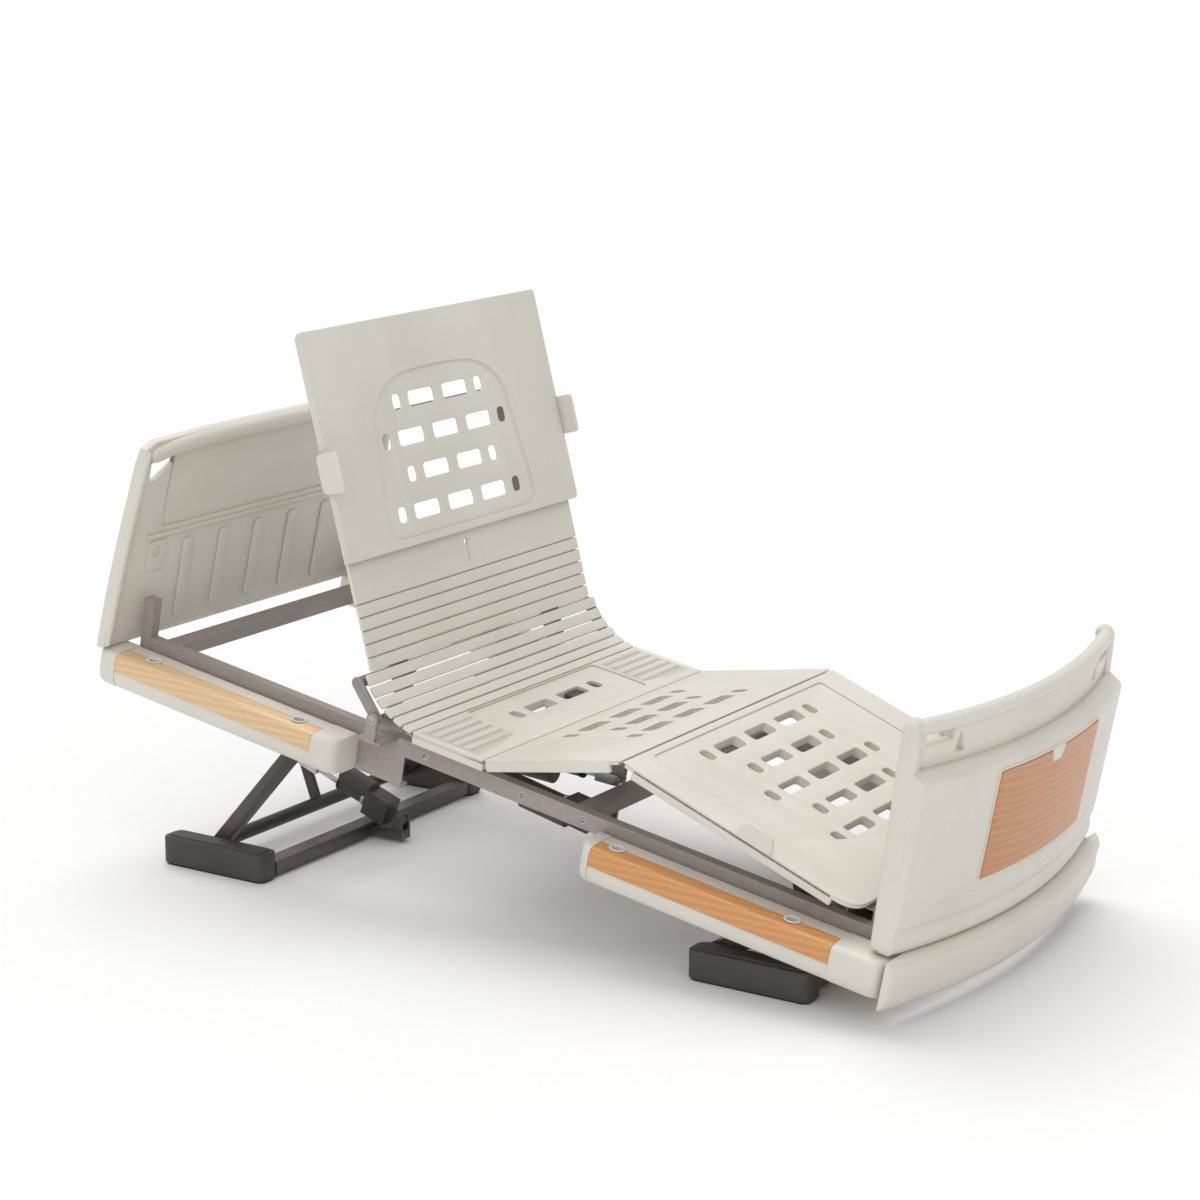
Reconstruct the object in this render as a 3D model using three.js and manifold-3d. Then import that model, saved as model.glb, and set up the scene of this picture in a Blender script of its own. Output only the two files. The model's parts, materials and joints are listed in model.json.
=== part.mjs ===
// Adjustable hospital bed with a slatted, four-section platform, drawn with its head end raised.
// Units are millimetres. +Z is up, +X runs from the head end to the foot end, and +Y is the
// patient's left. The origin is on the floor, at the middle of the bed's outline as it stands here.
// Everything that the main frame carries is drawn level, in the frame's own coordinates (its x is
// measured from the first rail socket), and the whole group is then tilted about the foot end.

import * as THREE from 'three';
import * as BufferGeometryUtils from 'three/addons/utils/BufferGeometryUtils.js';
import Module from 'manifold-3d';

const wasm = await Module();
wasm.setup();

// ---------------------------------------------------------------- driving dimensions

const TILT = THREE.MathUtils.degToRad(10.374); // head end up
const TILT_SHIFT = { x: -23, z: 298.8 };       // where the tilted frame's own origin lands
const CENTRE_X = 910.77;                       // middle of the outline, measured like the frame's x

const GAP = 0.3;            // between pieces that touch
const RUNNING = 0.3;        // radial clearance of a pin in its hole

// Platform
const DECK_TOP = 246;       // top of the seat and of the slats above the floor, frame level
const DECK_HALF = 438;
const SHEET_HALF = 420;
const SKIN = 12;            // thickness of a platform panel
const RIM_DEPTH = 26;
const RIM_WIDTH = 11;
const BACK_ANGLE = THREE.MathUtils.degToRad(65);
const THIGH_ANGLE = THREE.MathUtils.degToRad(19.2);
const CALF_ANGLE = THREE.MathUtils.degToRad(30.6);  // calf against thigh

const SLAT_COUNT = 6;
const SLAT_PITCH = 27;
const SLAT_SKIN = 8;
const GROOVE = 3;           // open line between two slats
const BEND = BACK_ANGLE / (SLAT_COUNT + 1);
const BEND_START = 686;     // frame x of the first slat's hinge line
const BACK_PIVOT_X = BEND_START - 88;
const BACK_LEVER = [38, -128];  // where the back actuator pushes, from the back's pivot, back lying flat
const KNEE_LEVER = [130, -110]; // where the knee actuator pushes, from the thigh hinge, thigh lying flat

const PANEL_STEP = 13;      // the back panel's top above the lower sheet's top
const PANEL_SKIN = 9;
const PANEL_BOTTOM = 327;   // measured up the back from its pivot
const PANEL_TOP = 818.5;
const SHEET_LENGTH = 268;

const THIGH_HINGE_X = 870;
const THIGH_LENGTH = 337.8;
const CALF_LENGTH = 572;
const CALF_CORNER = 55;

// Slots in the platform panels
const SLOT_LONG = 93;
const SLOT_SHORT = 30;
const SLOT_HEIGHT = 34;
const SLOT_CHAMFER = 8;
const SLOT_PITCH = 126;
const SLOT_END_GAP = 28;

// Slot rows of each panel: distance from its hinge (from the frame's origin for the seat) and the
// number of long slots
const SEAT_ROWS = [[760, 2]];
const BACK_ROWS = [[-635, 2], [-556, 3], [-477, 2], [-396, 3]];
const THIGH_ROWS = [[70, 3], [150, 2], [230, 3]];
const CALF_ROWS = [[76, 3], [158, 2], [240, 3], [322, 2], [404, 3]];
const SEAT_FOOT = { x: [700, 860], inset: 6 };  // blocks that the seat stands on, narrower than the rail

// Mattress retainers on the back panel
const TAB = { middle: -521, half: 44, height: 38, round: 16, skin: 8 };

// Main frame
const RAIL_INNER = 372.5;
const RAIL_OUTER = 397.5;
const RAIL_BOTTOM = 165;
const RAIL_TOP = 203;
const RAIL_START = -60;
const RAIL_END = 1790;
const TUBE_WALL = 3;

// Head track, a C-channel welded under each rail, open towards the middle of the bed
const TRACK_START = 340;
const TRACK_END = 650;
const TRACK_HEIGHT = 68;
const TRACK_WALL = 4;

// Lift arms
const PIVOT_HEIGHT = 50;
const HEAD_BASE_X = 100;
const FOOT_BASE_X = 1385;
const ROLLER = { x: 372, z: 118, radius: 15 };   // axle in the frame's coordinates
const FOOT_PIVOT = { x: 1636, z: 150 };          // the same
const ARM_INNER = 340;
const ARM_OUTER = 362;
const ARM_HEIGHT = 34;
const SHAFT_RADIUS = 9;
const TORQUE_TUBE_RADIUS = 16;  // turns on the shaft and joins each pair of arms
const PIVOT_TUBE_RADIUS = 30;   // between the foot arms and the frame
const STUB_INNER = 300;     // inner end of the stub pin that the foot pivot tube turns on
const TRACK_PIN = { radius: 7, end: 392 };       // on the head arms, for the rollers
const ROLLER_FACES = [374.5, 389];
const HEAD_TUBE = { radius: 14, setback: 80 };   // cross tube, set back from the head arms' top

// Cross members: x span and z span
const CROSS_HEAD = [[-45, -5], [165, 195]];
const CROSS_MIDDLE = [[648, 682], [188, 226]];
const CROSS_REAR = [[1060, 1100], [165, 195]];
const CROSS_FOOT = [[1700, 1760], [180, 226]];
const BASE_BEAM = { head: 250, foot: 1595, halfWidth: 20, z: [8, 38] };
const TONGUE = { end: 14, half: 17, z: [8, 30] }; // reaches out from a base beam, under an actuator's pin

// Control box, hung under the seat
const CONTROL_BOX = { x: [700, 850], y: [60, 200], z: [176, DECK_TOP - SKIN - GAP] };

// Floor pads
const PAD_INNER = 366;
const PAD_OUTER = 425;
const PAD_HEIGHT = 70;
const HEAD_PAD = [-8, 275];
const FOOT_PAD = [1356, 1634];

// Corner covers with their wood inlays and the sockets for side rails
const COVER_INNER = 398;
const COVER_OUTER = 490;
const COVER_BOTTOM = 98;
const COVER_TOP = 180;
const INLAY_SKIN = 9;
const INLAY_BOTTOM = 125;
const SOCKET_Y = 452;
const SOCKET_RADIUS = 13;
const COVERS = [
  { end: 'head', x: [-134, 530], inlay: [-78, 468], sockets: [0, 407] },
  { end: 'foot', x: [1150, 1848], inlay: [1180, 1735], sockets: [1221, 1628] },
];

// End boards
const HEADBOARD = {
  bottom: COVER_TOP + GAP, top: 656, outer: -137, thickness: 42, lean: 22, halfTop: 447, halfBottom: 490,
};
const FOOTBOARD = {
  bottom: 186, ledge: [532, 558], top: 657, inner: 1800, outer: 1850, railInner: 1776, railOuter: 1812,
  bow: 62, skin: 34, half: 460, post: 30,
};
const FOOT_GRIP = { y: [340, 420], z: [600, 628] };   // hand holes under the footboard's rail
const FOOT_PLATE = { half: 230, z: [303, 531.7], skin: 5 };
const SKIRT = { bottom: 82, top: 185.7, inner: 1853, outer: 1870, bow: 70, half: 490 };

// Actuators: the pin of the housing, the end of the rod's fork, and how much shorter each one can get.
// The first two are pinned to the frame; the lift actuators stand on the base beams.
const LIFT_LEVER = { head: [-37.6, 103.4], foot: [-17.4, 98.5] };  // from the shaft to the lever's end
const ACTUATORS = {
  back: { name: 'back_actuator', y: -250, mount: [1075, 128], retract: 138.5 },
  knee: { name: 'knee_actuator', y: -150, mount: [665, 150], retract: 30.5 },
  head: { name: 'head_lift_actuator', y: 0, mount: [340, 50], retract: 60.8, motorOnTop: true },
  foot: { name: 'foot_lift_actuator', y: 0, mount: [1640, 60], retract: 0, motorOnTop: true },
};
const LEVER_HALF = 6;
const LEVER_WIDTH = 24;
const FORK_PIN_RADIUS = 6;
const EAR = { inner: 11, skin: 6, width: 28 };
const GEAR_CASE = { x: [30, 95], half: 24, z: [-32, 26] };
const MOTOR = { start: 92, length: 115, radius: 23, offset: 26 };
const OUTER_TUBE = { start: 90, radius: 17, hollowStart: 97, hollowRadius: 10.5 };
const ROD_RADIUS = 9;
const FORK = { block: [-50, -34], cheekStart: -38, half: 14, height: 24, clearance: 2 };
const RETRACTED_GAP = 4;    // between the fork's block and the outer tube, rod drawn in

// Back frame, measured from the back's pivot with the back lying flat
const BACK_ARM = { x: [-640, -30], y: [280, 305], z: [-49, -14.5] };
const BACK_TUBE = { x: -80, z: -28, radius: 12, reach: 448 };
const BACK_CROSS_BAR = { x: [-620, -590], z: [-45, -18.5] };
const PIVOT_PIN_RADIUS = 7;
const PIVOT_PLATE = { skin: 6, width: 26 };

// Brackets
const HEAD_BRACKET = { start: -88, top: 290 };
const HINGE_BRACKET = { half: 30, foot: [196, 202], outer: 462, ear: 454, width: 28, pinInner: 443 };
const FOOT_BRACKET = { spread: 45, half: 18, skin: 10 };

// ---------------------------------------------------------------- materials

const material = (color, roughness, metalness = 0) =>
  new THREE.MeshStandardMaterial({ color, roughness, metalness });
const shell = material('#dedace', 0.45);
const frameGrey = material('#a39a90', 0.4, 0.5);
const darkSteel = material('#443f3c', 0.5, 0.5);
const darkPlastic = material('#3f3936', 0.6);
const steel = material('#b9bbbe', 0.3, 0.9);
const headWood = material('#deb684', 0.5);
const footWood = material('#bc8968', 0.5);

// ---------------------------------------------------------------- solids

function solid(geometry) {
  const bare = geometry.index ? geometry.clone() : BufferGeometryUtils.mergeVertices(geometry);
  bare.deleteAttribute('normal');
  bare.deleteAttribute('uv');
  const merged = BufferGeometryUtils.mergeVertices(bare, 1e-4);
  return new wasm.Manifold(new wasm.Mesh({
    numProp: 3,
    vertProperties: merged.attributes.position.array,
    triVerts: new Uint32Array(merged.index.array),
  }));
}

function meshOf(name, body, look) {
  const { vertProperties, triVerts } = body.getMesh();
  const geometry = new THREE.BufferGeometry();
  geometry.setAttribute('position', new THREE.BufferAttribute(new Float32Array(vertProperties), 3));
  geometry.setIndex(new THREE.BufferAttribute(new Uint32Array(triVerts), 1));
  geometry.computeVertexNormals();
  const mesh = new THREE.Mesh(geometry, look);
  mesh.name = name;
  return mesh;
}

function box([x0, x1], [y0, y1], [z0, z1]) {
  const geometry = new THREE.BoxGeometry(x1 - x0, y1 - y0, z1 - z0);
  geometry.translate((x0 + x1) / 2, (y0 + y1) / 2, (z0 + z1) / 2);
  return solid(geometry);
}

// A round bar along Y
function barY(radius, [y0, y1], x, z, sides = 14) {
  const geometry = new THREE.CylinderGeometry(radius, radius, y1 - y0, sides);
  geometry.translate(x, (y0 + y1) / 2, 0);
  geometry.translate(0, 0, z);
  return solid(geometry);
}

// A round bar along Z
function barZ(radius, [z0, z1], x, y, sides = 16) {
  const geometry = new THREE.CylinderGeometry(radius, radius, z1 - z0, sides);
  geometry.rotateX(Math.PI / 2);
  geometry.translate(x, y, (z0 + z1) / 2);
  return solid(geometry);
}

// A shape drawn in X and Z, extruded along Y
function slabXZ(shape, [y0, y1], curveSegments = 8) {
  const geometry = new THREE.ExtrudeGeometry(shape, { depth: y1 - y0, bevelEnabled: false, curveSegments });
  geometry.rotateX(Math.PI / 2);
  geometry.translate(0, y1, 0);
  return solid(geometry);
}

// A shape drawn in X and Y, extruded along Z
function slabXY(shape, [z0, z1], curveSegments = 8) {
  const geometry = new THREE.ExtrudeGeometry(shape, { depth: z1 - z0, bevelEnabled: false, curveSegments });
  geometry.translate(0, 0, z0);
  return solid(geometry);
}

// A shape drawn in Y and Z, extruded along X
function slabYZ(shape, [x0, x1], curveSegments = 8) {
  const geometry = new THREE.ExtrudeGeometry(shape, { depth: x1 - x0, bevelEnabled: false, curveSegments });
  geometry.rotateX(Math.PI / 2);
  geometry.rotateZ(Math.PI / 2);
  geometry.translate(x0, 0, 0);
  return solid(geometry);
}

const polygon = (points) => new THREE.Shape(points.map(([a, b]) => new THREE.Vector2(a, b)));
const join = (bodies) => bodies.reduce((sum, body) => sum.add(body));
const cut = (body, tools) => tools.reduce((rest, tool) => rest.subtract(tool), body);
const mirrorY = (body) => body.mirror([0, 1, 0]);
const span = (a, b) => (a < b ? [a, b] : [b, a]);

// Each piece that comes in a pair is drawn on the left, +Y, and mirrored for the right
function pair(name, body, look) {
  return [meshOf(`${name}_left`, body, look), meshOf(`${name}_right`, mirrorY(body), look)];
}

// A flat bar with round ends between two points of the XZ plane
function link([ax, az], [bx, bz], height, ySpan) {
  const angle = Math.atan2(bz - az, bx - ax);
  const shape = new THREE.Shape();
  shape.absarc(ax, az, height / 2, angle + Math.PI / 2, angle + Math.PI * 1.5, false);
  shape.absarc(bx, bz, height / 2, angle - Math.PI / 2, angle + Math.PI / 2, false);
  return slabXZ(shape, ySpan, 5);
}

function tube(xSpan, ySpan, zSpan, axis) {
  const inner = { x: xSpan, y: ySpan, z: zSpan };
  for (const key of Object.keys(inner)) {
    const wall = key === axis ? -1 : TUBE_WALL;
    inner[key] = [inner[key][0] + wall, inner[key][1] - wall];
  }
  return box(xSpan, ySpan, zSpan).subtract(box(inner.x, inner.y, inner.z));
}

// ---------------------------------------------------------------- platform panels

function slotPath(x, y, width) {
  const [a, b, c] = [SLOT_HEIGHT / 2, width / 2, SLOT_CHAMFER];
  const corners = [
    [-a + c, -b], [a - c, -b], [a, -b + c], [a, b - c], [a - c, b], [-a + c, b], [-a, b - c], [-a, -b + c],
  ];
  return polygon(corners.map(([dx, dy]) => [x + dx, y + dy]));
}

// One row of slots: long ones side by side with a short one at each end
function slotRow(x, longCount) {
  const slots = [];
  for (let i = 0; i < longCount; i += 1) {
    slots.push(slotPath(x, (i - (longCount - 1) / 2) * SLOT_PITCH, SLOT_LONG));
  }
  const end = ((longCount - 1) * SLOT_PITCH + SLOT_LONG + SLOT_SHORT) / 2 + SLOT_END_GAP;
  slots.push(slotPath(x, end, SLOT_SHORT), slotPath(x, -end, SLOT_SHORT));
  return slots;
}

function withSlots(panel, [z0, z1], rows) {
  const paths = rows.flatMap(([x, longCount]) => slotRow(x, longCount));
  return cut(panel, paths.map((path) => slabXY(path, [z0 - 1, z1 + 1])));
}

const slottedPanel = (outline, zSpan, rows) => withSlots(slabXY(outline, zSpan), zSpan, rows);

const rectangle = ([x0, x1], half) => polygon([[x0, -half], [x1, -half], [x1, half], [x0, half]]);

function rims([x0, x1], half, top) {
  const rim = box([x0, x1], [half - RIM_WIDTH, half], [top - RIM_DEPTH, top - 1]);
  return [rim, mirrorY(rim)];
}

// A trapezoid end: flush at the top, drawn back underneath so that the joint can bend
function bevelled([x0, x1], half, skin, [back0, back1]) {
  const section = polygon([[x0, 0], [x1, 0], [x1 - back1, -skin], [x0 + back0, -skin]]);
  return slabXZ(section, [-half, half]);
}

function seatPanel() {
  const x = [BEND_START + GROOVE / 2, THIGH_HINGE_X - 1];
  const panel = slottedPanel(rectangle(x, DECK_HALF), [DECK_TOP - SKIN, DECK_TOP], SEAT_ROWS);
  const width = [RAIL_INNER + SEAT_FOOT.inset, RAIL_OUTER - SEAT_FOOT.inset];
  const foot = box(SEAT_FOOT.x, width, [RAIL_TOP + GAP, DECK_TOP - SKIN + 1]);
  return join([panel, ...rims(x, DECK_HALF, DECK_TOP), foot, mirrorY(foot)]);
}

function slat() {
  return box([-SLAT_PITCH + GROOVE / 2, -GROOVE / 2], [-DECK_HALF, DECK_HALF], [-SLAT_SKIN, 0]);
}

function lowerSheet() {
  const x = [-SHEET_LENGTH, -GROOVE / 2];
  const keyhole = barZ(7, [-SLAT_SKIN - 1, 1], -207, 0, 12);
  return box(x, [-SHEET_HALF, SHEET_HALF], [-SLAT_SKIN, 0]).subtract(keyhole);
}

function backPanel() {
  const x = [-PANEL_TOP, -PANEL_BOTTOM];
  return slottedPanel(rectangle(x, DECK_HALF), [PANEL_STEP - PANEL_SKIN, PANEL_STEP], BACK_ROWS);
}

function retainerTab() {
  const { middle, half, height, round, skin } = TAB;
  const shape = new THREE.Shape();
  shape.moveTo(middle - half, PANEL_STEP - 20);
  shape.lineTo(middle + half, PANEL_STEP - 20);
  shape.absarc(middle + half - round, PANEL_STEP + height - round, round, 0, Math.PI / 2, false);
  shape.absarc(middle - half + round, PANEL_STEP + height - round, round, Math.PI / 2, Math.PI, false);
  return slabXZ(shape, [DECK_HALF + GAP, DECK_HALF + skin], 3);
}

function thighPanel() {
  const body = bevelled([1, THIGH_LENGTH - 1], DECK_HALF, SKIN, [0, 8]);
  const panel = withSlots(body, [-SKIN, 0], THIGH_ROWS);
  return join([panel, ...rims([2, THIGH_LENGTH - 30], DECK_HALF, 0)]);
}

function calfPanel() {
  const outline = new THREE.Shape();
  outline.moveTo(1, -DECK_HALF);
  outline.lineTo(CALF_LENGTH - CALF_CORNER, -DECK_HALF);
  outline.absarc(CALF_LENGTH - CALF_CORNER, -DECK_HALF + CALF_CORNER, CALF_CORNER, -Math.PI / 2, 0, false);
  outline.absarc(CALF_LENGTH - CALF_CORNER, DECK_HALF - CALF_CORNER, CALF_CORNER, 0, Math.PI / 2, false);
  outline.lineTo(1, DECK_HALF);
  const panel = slottedPanel(outline, [-SKIN, 0], CALF_ROWS);
  const bevelSection = polygon([[0, 1], [1, 0.5], [9, -SKIN - 1], [0, -SKIN - 1]]);
  const bevel = slabXZ(bevelSection, [-DECK_HALF - 1, DECK_HALF + 1]);
  return join([panel.subtract(bevel), ...rims([30, CALF_LENGTH - CALF_CORNER], DECK_HALF, 0)]);
}

// ---------------------------------------------------------------- frame

function frameRail() {
  const rail = tube([RAIL_START, RAIL_END], [RAIL_INNER, RAIL_OUTER], [RAIL_BOTTOM, RAIL_TOP], 'x');
  const trackBottom = RAIL_BOTTOM - TRACK_HEIGHT;
  const channel = box([TRACK_START, TRACK_END], [RAIL_INNER, RAIL_OUTER], [trackBottom, RAIL_BOTTOM + 1]);
  const hollow = box(
    [TRACK_START - 1, TRACK_END + 1],
    [RAIL_INNER - 1, RAIL_OUTER - TRACK_WALL],
    [trackBottom + TRACK_WALL, RAIL_BOTTOM - TRACK_WALL],
  );
  const { spread, half, skin } = FOOT_BRACKET;
  const bracket = slabXZ(polygon([
    [FOOT_PIVOT.x - spread, RAIL_BOTTOM + 1],
    [FOOT_PIVOT.x - half, FOOT_PIVOT.z - half],
    [FOOT_PIVOT.x + half, FOOT_PIVOT.z - half],
    [FOOT_PIVOT.x + spread, RAIL_BOTTOM + 1],
  ]), [RAIL_INNER, RAIL_INNER + skin]);
  const stub = barY(SHAFT_RADIUS, [STUB_INNER, RAIL_INNER + 5], FOOT_PIVOT.x, FOOT_PIVOT.z);
  return join([rail, channel.subtract(hollow), bracket, stub]);
}

function crossMember([x0, x1], [z0, z1]) {
  const reach = RAIL_INNER - GAP;
  return tube([x0, x1], [-reach, reach], [z0, z1], 'y');
}

// A pair of ears with a pin between them, which an actuator's rear eye hangs on
function actuatorEars({ y, mount }, foot) {
  const ears = [-1, 1].map((side) => {
    const inner = y + side * EAR.inner;
    return link(mount, foot, EAR.width, span(inner, inner + side * EAR.skin));
  });
  return join([...ears, barY(FORK_PIN_RADIUS, [y - EAR.inner - 1, y + EAR.inner + 1], ...mount, 12)]);
}

function cornerCover({ x: [x0, x1], sockets }) {
  const round = 30;
  const plan = new THREE.Shape();
  plan.moveTo(x0, COVER_INNER);
  plan.lineTo(x1, COVER_INNER);
  plan.absarc(x1 - round, COVER_OUTER - round, round, 0, Math.PI / 2, false);
  plan.absarc(x0 + round, COVER_OUTER - round, round, Math.PI / 2, Math.PI, false);
  const holes = sockets.map((x) => barZ(SOCKET_RADIUS, [COVER_BOTTOM - 1, COVER_TOP + 1], x, SOCKET_Y));
  return cut(slabXY(plan, [COVER_BOTTOM, COVER_TOP], 4), holes);
}

// The inlay wraps the cover's top and outer face in one L-shaped piece
function coverInlay({ inlay, sockets }) {
  const [outer, top] = [COVER_OUTER, COVER_TOP];
  const section = polygon([
    [COVER_INNER + 14, top - INLAY_SKIN],
    [outer - INLAY_SKIN, top - INLAY_SKIN],
    [outer - INLAY_SKIN, INLAY_BOTTOM],
    [outer, INLAY_BOTTOM],
    [outer, top - 14],
    [outer - 14, top],
    [COVER_INNER + 14, top],
  ]);
  const holes = sockets.map((x) => barZ(SOCKET_RADIUS, [COVER_BOTTOM, COVER_TOP + 1], x, SOCKET_Y));
  return cut(slabYZ(section, inlay), holes);
}

function coverCorner(data) {
  const pocket = slabYZ(polygon([
    [COVER_INNER + 14 - GAP, COVER_TOP - INLAY_SKIN - GAP],
    [COVER_OUTER - INLAY_SKIN - GAP, COVER_TOP - INLAY_SKIN - GAP],
    [COVER_OUTER - INLAY_SKIN - GAP, INLAY_BOTTOM - GAP],
    [COVER_OUTER + 1, INLAY_BOTTOM - GAP],
    [COVER_OUTER + 1, COVER_TOP + 1],
    [COVER_INNER + 14 - GAP, COVER_TOP + 1],
  ]), [data.inlay[0] - GAP, data.inlay[1] + GAP]);
  return cornerCover(data).subtract(pocket);
}

// ---------------------------------------------------------------- end boards

// Front view: sides that pull in towards the top, round shoulders, and the middle reaching lower
function headboard() {
  const { bottom, top, outer, thickness, lean, halfTop, halfBottom } = HEADBOARD;
  const shoulder = 60;
  const half = new THREE.Shape();
  half.moveTo(0, bottom);
  half.lineTo(halfBottom, bottom);
  half.quadraticCurveTo(halfBottom - 4, bottom + 230, halfTop + 6, top - shoulder);
  half.quadraticCurveTo(halfTop - 4, top - 8, halfTop - shoulder, top - 4);
  half.quadraticCurveTo(halfTop * 0.5, top, 0, top);
  const side = slabYZ(half, [outer, outer + thickness + lean], 6);
  const board = side.add(mirrorY(side));
  const grip = polygon([[-26, 0], [0, -30], [26, 0], [0, 30]]
    .map(([dy, dz]) => [halfTop - 62 + dy, top - 70 + dz]));
  const hole = slabYZ(grip, [outer - 1, outer + thickness + lean + 1]);
  const leaning = slabXZ(polygon([
    [outer, bottom], [outer + thickness, bottom], [outer + thickness + lean, top], [outer + lean, top],
  ]), [-halfBottom - 1, halfBottom + 1]);
  return cut(board, [hole, mirrorY(hole)]).intersect(leaning);
}

// Plan view of a bowed board: a band that is furthest out in the middle of the bed's width
function bowedBand(inner, outer, bow, skin, half) {
  const steps = 8;
  const bowAt = (y) => bow * (1 - (y / half) ** 2);
  const outside = [];
  const inside = [];
  for (let i = 0; i <= steps; i += 1) {
    const y = -half + (2 * half * i) / steps;
    outside.push([outer + bowAt(y), y]);
    inside.unshift([Math.max(inner, outer + bowAt(y) - skin), y]);
  }
  return [...outside, ...inside];
}

// The face bows out below a ledge, and the sheet above the ledge is set back and carries the rail
function footboard() {
  const { bottom, ledge, top, inner, outer, railInner, railOuter, bow, skin, half, post } = FOOTBOARD;
  const band = (x0, x1, thickness, z) => slabXY(polygon(bowedBand(x0, x1, bow, thickness, half)), z);
  const postSide = polygon([[inner, bottom], [outer, bottom], [railOuter, top], [railInner, top]]);
  const postBody = slabXZ(postSide, [half - post, half]);
  const grip = box([railInner - 1, outer + bow], FOOT_GRIP.y, FOOT_GRIP.z);
  const skirt = slabXY(
    polygon(bowedBand(SKIRT.inner, SKIRT.outer, SKIRT.bow, skin, SKIRT.half)),
    [SKIRT.bottom, SKIRT.top + 1],
  );
  const body = join([
    band(inner, outer, skin, [bottom, ledge[0] + 1]),
    band(railInner, outer, outer - railInner, ledge),
    band(railInner, railOuter, skin, [ledge[1] - 1, top]),
    postBody,
    mirrorY(postBody),
    skirt,
  ]);
  return cut(body, [grip, mirrorY(grip)]);
}

function footboardPlate() {
  const { half, z, skin } = FOOT_PLATE;
  const face = FOOTBOARD.outer + GAP;
  const bowAt = (y) => FOOTBOARD.bow * (1 - (y / FOOTBOARD.half) ** 2);
  const steps = 4;
  const outside = [];
  const inside = [];
  for (let i = 0; i <= steps; i += 1) {
    const y = -half + (2 * half * i) / steps;
    outside.push([face + bowAt(y) + skin, y]);
    inside.unshift([face + bowAt(y), y]);
  }
  return slabXY(polygon([...outside, ...inside]), z);
}

// ---------------------------------------------------------------- lifting gear

function floorPad([x0, x1], shaftX) {
  const round = 22;
  const plan = new THREE.Shape();
  plan.absarc(x1 - round, PAD_OUTER - round, round, 0, Math.PI / 2, false);
  plan.absarc(x0 + round, PAD_OUTER - round, round, Math.PI / 2, Math.PI, false);
  plan.lineTo(x0, PAD_INNER);
  plan.lineTo(x1, PAD_INNER);
  const bore = barY(SHAFT_RADIUS + RUNNING, [PAD_INNER - 1, PAD_INNER + 22], shaftX, PIVOT_HEIGHT);
  return slabXY(plan, [0, PAD_HEIGHT], 4).subtract(bore);
}

const pivotShaft = (x) => barY(SHAFT_RADIUS, [-PAD_INNER - 18, PAD_INNER + 18], x, PIVOT_HEIGHT);

function baseBeam(xMiddle, actuator) {
  const reach = PAD_INNER - GAP;
  const half = BASE_BEAM.halfWidth;
  const [pinX] = actuator.mount;
  const beam = tube([xMiddle - half, xMiddle + half], [-reach, reach], BASE_BEAM.z, 'y');
  const tongue = box([xMiddle + half - 1, pinX + TONGUE.end], [-TONGUE.half, TONGUE.half], TONGUE.z);
  const ears = actuatorEars(actuator, [pinX, TONGUE.z[0] + TONGUE.end]);
  return join([beam, tongue, ears]);
}

// One weldment: two arms, the tube that turns on the shaft, and the lever that the actuator pushes
function liftArms(base, top, lever, extras) {
  const arm = link(base, top, ARM_HEIGHT, [ARM_INNER, ARM_OUTER]);
  const torqueTube = barY(TORQUE_TUBE_RADIUS, [-ARM_INNER - 1, ARM_INNER + 1], ...base, 20);
  const leverEnd = [base[0] + lever[0], base[1] + lever[1]];
  const leverBar = link(base, leverEnd, LEVER_WIDTH, [-LEVER_HALF, LEVER_HALF]);
  const bore = barY(SHAFT_RADIUS + RUNNING, [-ARM_OUTER - 1, ARM_OUTER + 1], ...base);
  return join([arm, mirrorY(arm), torqueTube, leverBar, ...extras]).subtract(bore);
}

function headRoller([x, z]) {
  const body = barY(ROLLER.radius, ROLLER_FACES, x, z, 24);
  const bore = barY(TRACK_PIN.radius + RUNNING, [ROLLER_FACES[0] - 1, ROLLER_FACES[1] + 1], x, z, 16);
  return body.subtract(bore);
}

// ---------------------------------------------------------------- back frame and levers

// Welded: two arms under the panel, cross tubes, outboard pivot plates and the actuator's lever
function backFrame() {
  const { x: tubeX, z: tubeZ, radius, reach } = BACK_TUBE;
  const arm = tube(BACK_ARM.x, BACK_ARM.y, BACK_ARM.z, 'x');
  const pivotTube = barY(radius, [-reach, reach], tubeX, tubeZ, 12);
  const plate = link([0, 0], [tubeX, tubeZ], PIVOT_PLATE.width, [reach - PIVOT_PLATE.skin, reach]);
  const bore = barY(PIVOT_PIN_RADIUS + RUNNING, [reach - PIVOT_PLATE.skin - 1, reach + 1], 0, 0, 16);
  const inner = BACK_ARM.y[0] + 1;
  const crossBar = box(BACK_CROSS_BAR.x, [-inner, inner], BACK_CROSS_BAR.z);
  const { y } = ACTUATORS.back;
  const lever = link([tubeX, tubeZ], BACK_LEVER, LEVER_WIDTH, [y - LEVER_HALF, y + LEVER_HALF]);
  const side = cut(plate, [bore]);
  return join([arm, mirrorY(arm), pivotTube, side, mirrorY(side), crossBar, lever]);
}

// Upright ahead of each rail's end, which the headboard hooks on
function headboardBracket() {
  const { start, top } = HEAD_BRACKET;
  return box([start, RAIL_START - GAP], [RAIL_INNER, RAIL_OUTER], [RAIL_BOTTOM, top]);
}

function backHingeBracket() {
  const x = BACK_PIVOT_X;
  const { half, foot: z, outer, ear: earInner, width, pinInner } = HINGE_BRACKET;
  const foot = box([x - half, x + half], [RAIL_OUTER + GAP, outer], z);
  const ear = link([x, DECK_TOP], [x, z[1] + 6], width, [earInner, outer]);
  const pin = barY(PIVOT_PIN_RADIUS, [pinInner, earInner + 2], x, DECK_TOP, 16);
  return join([foot, ear, pin]);
}

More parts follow.
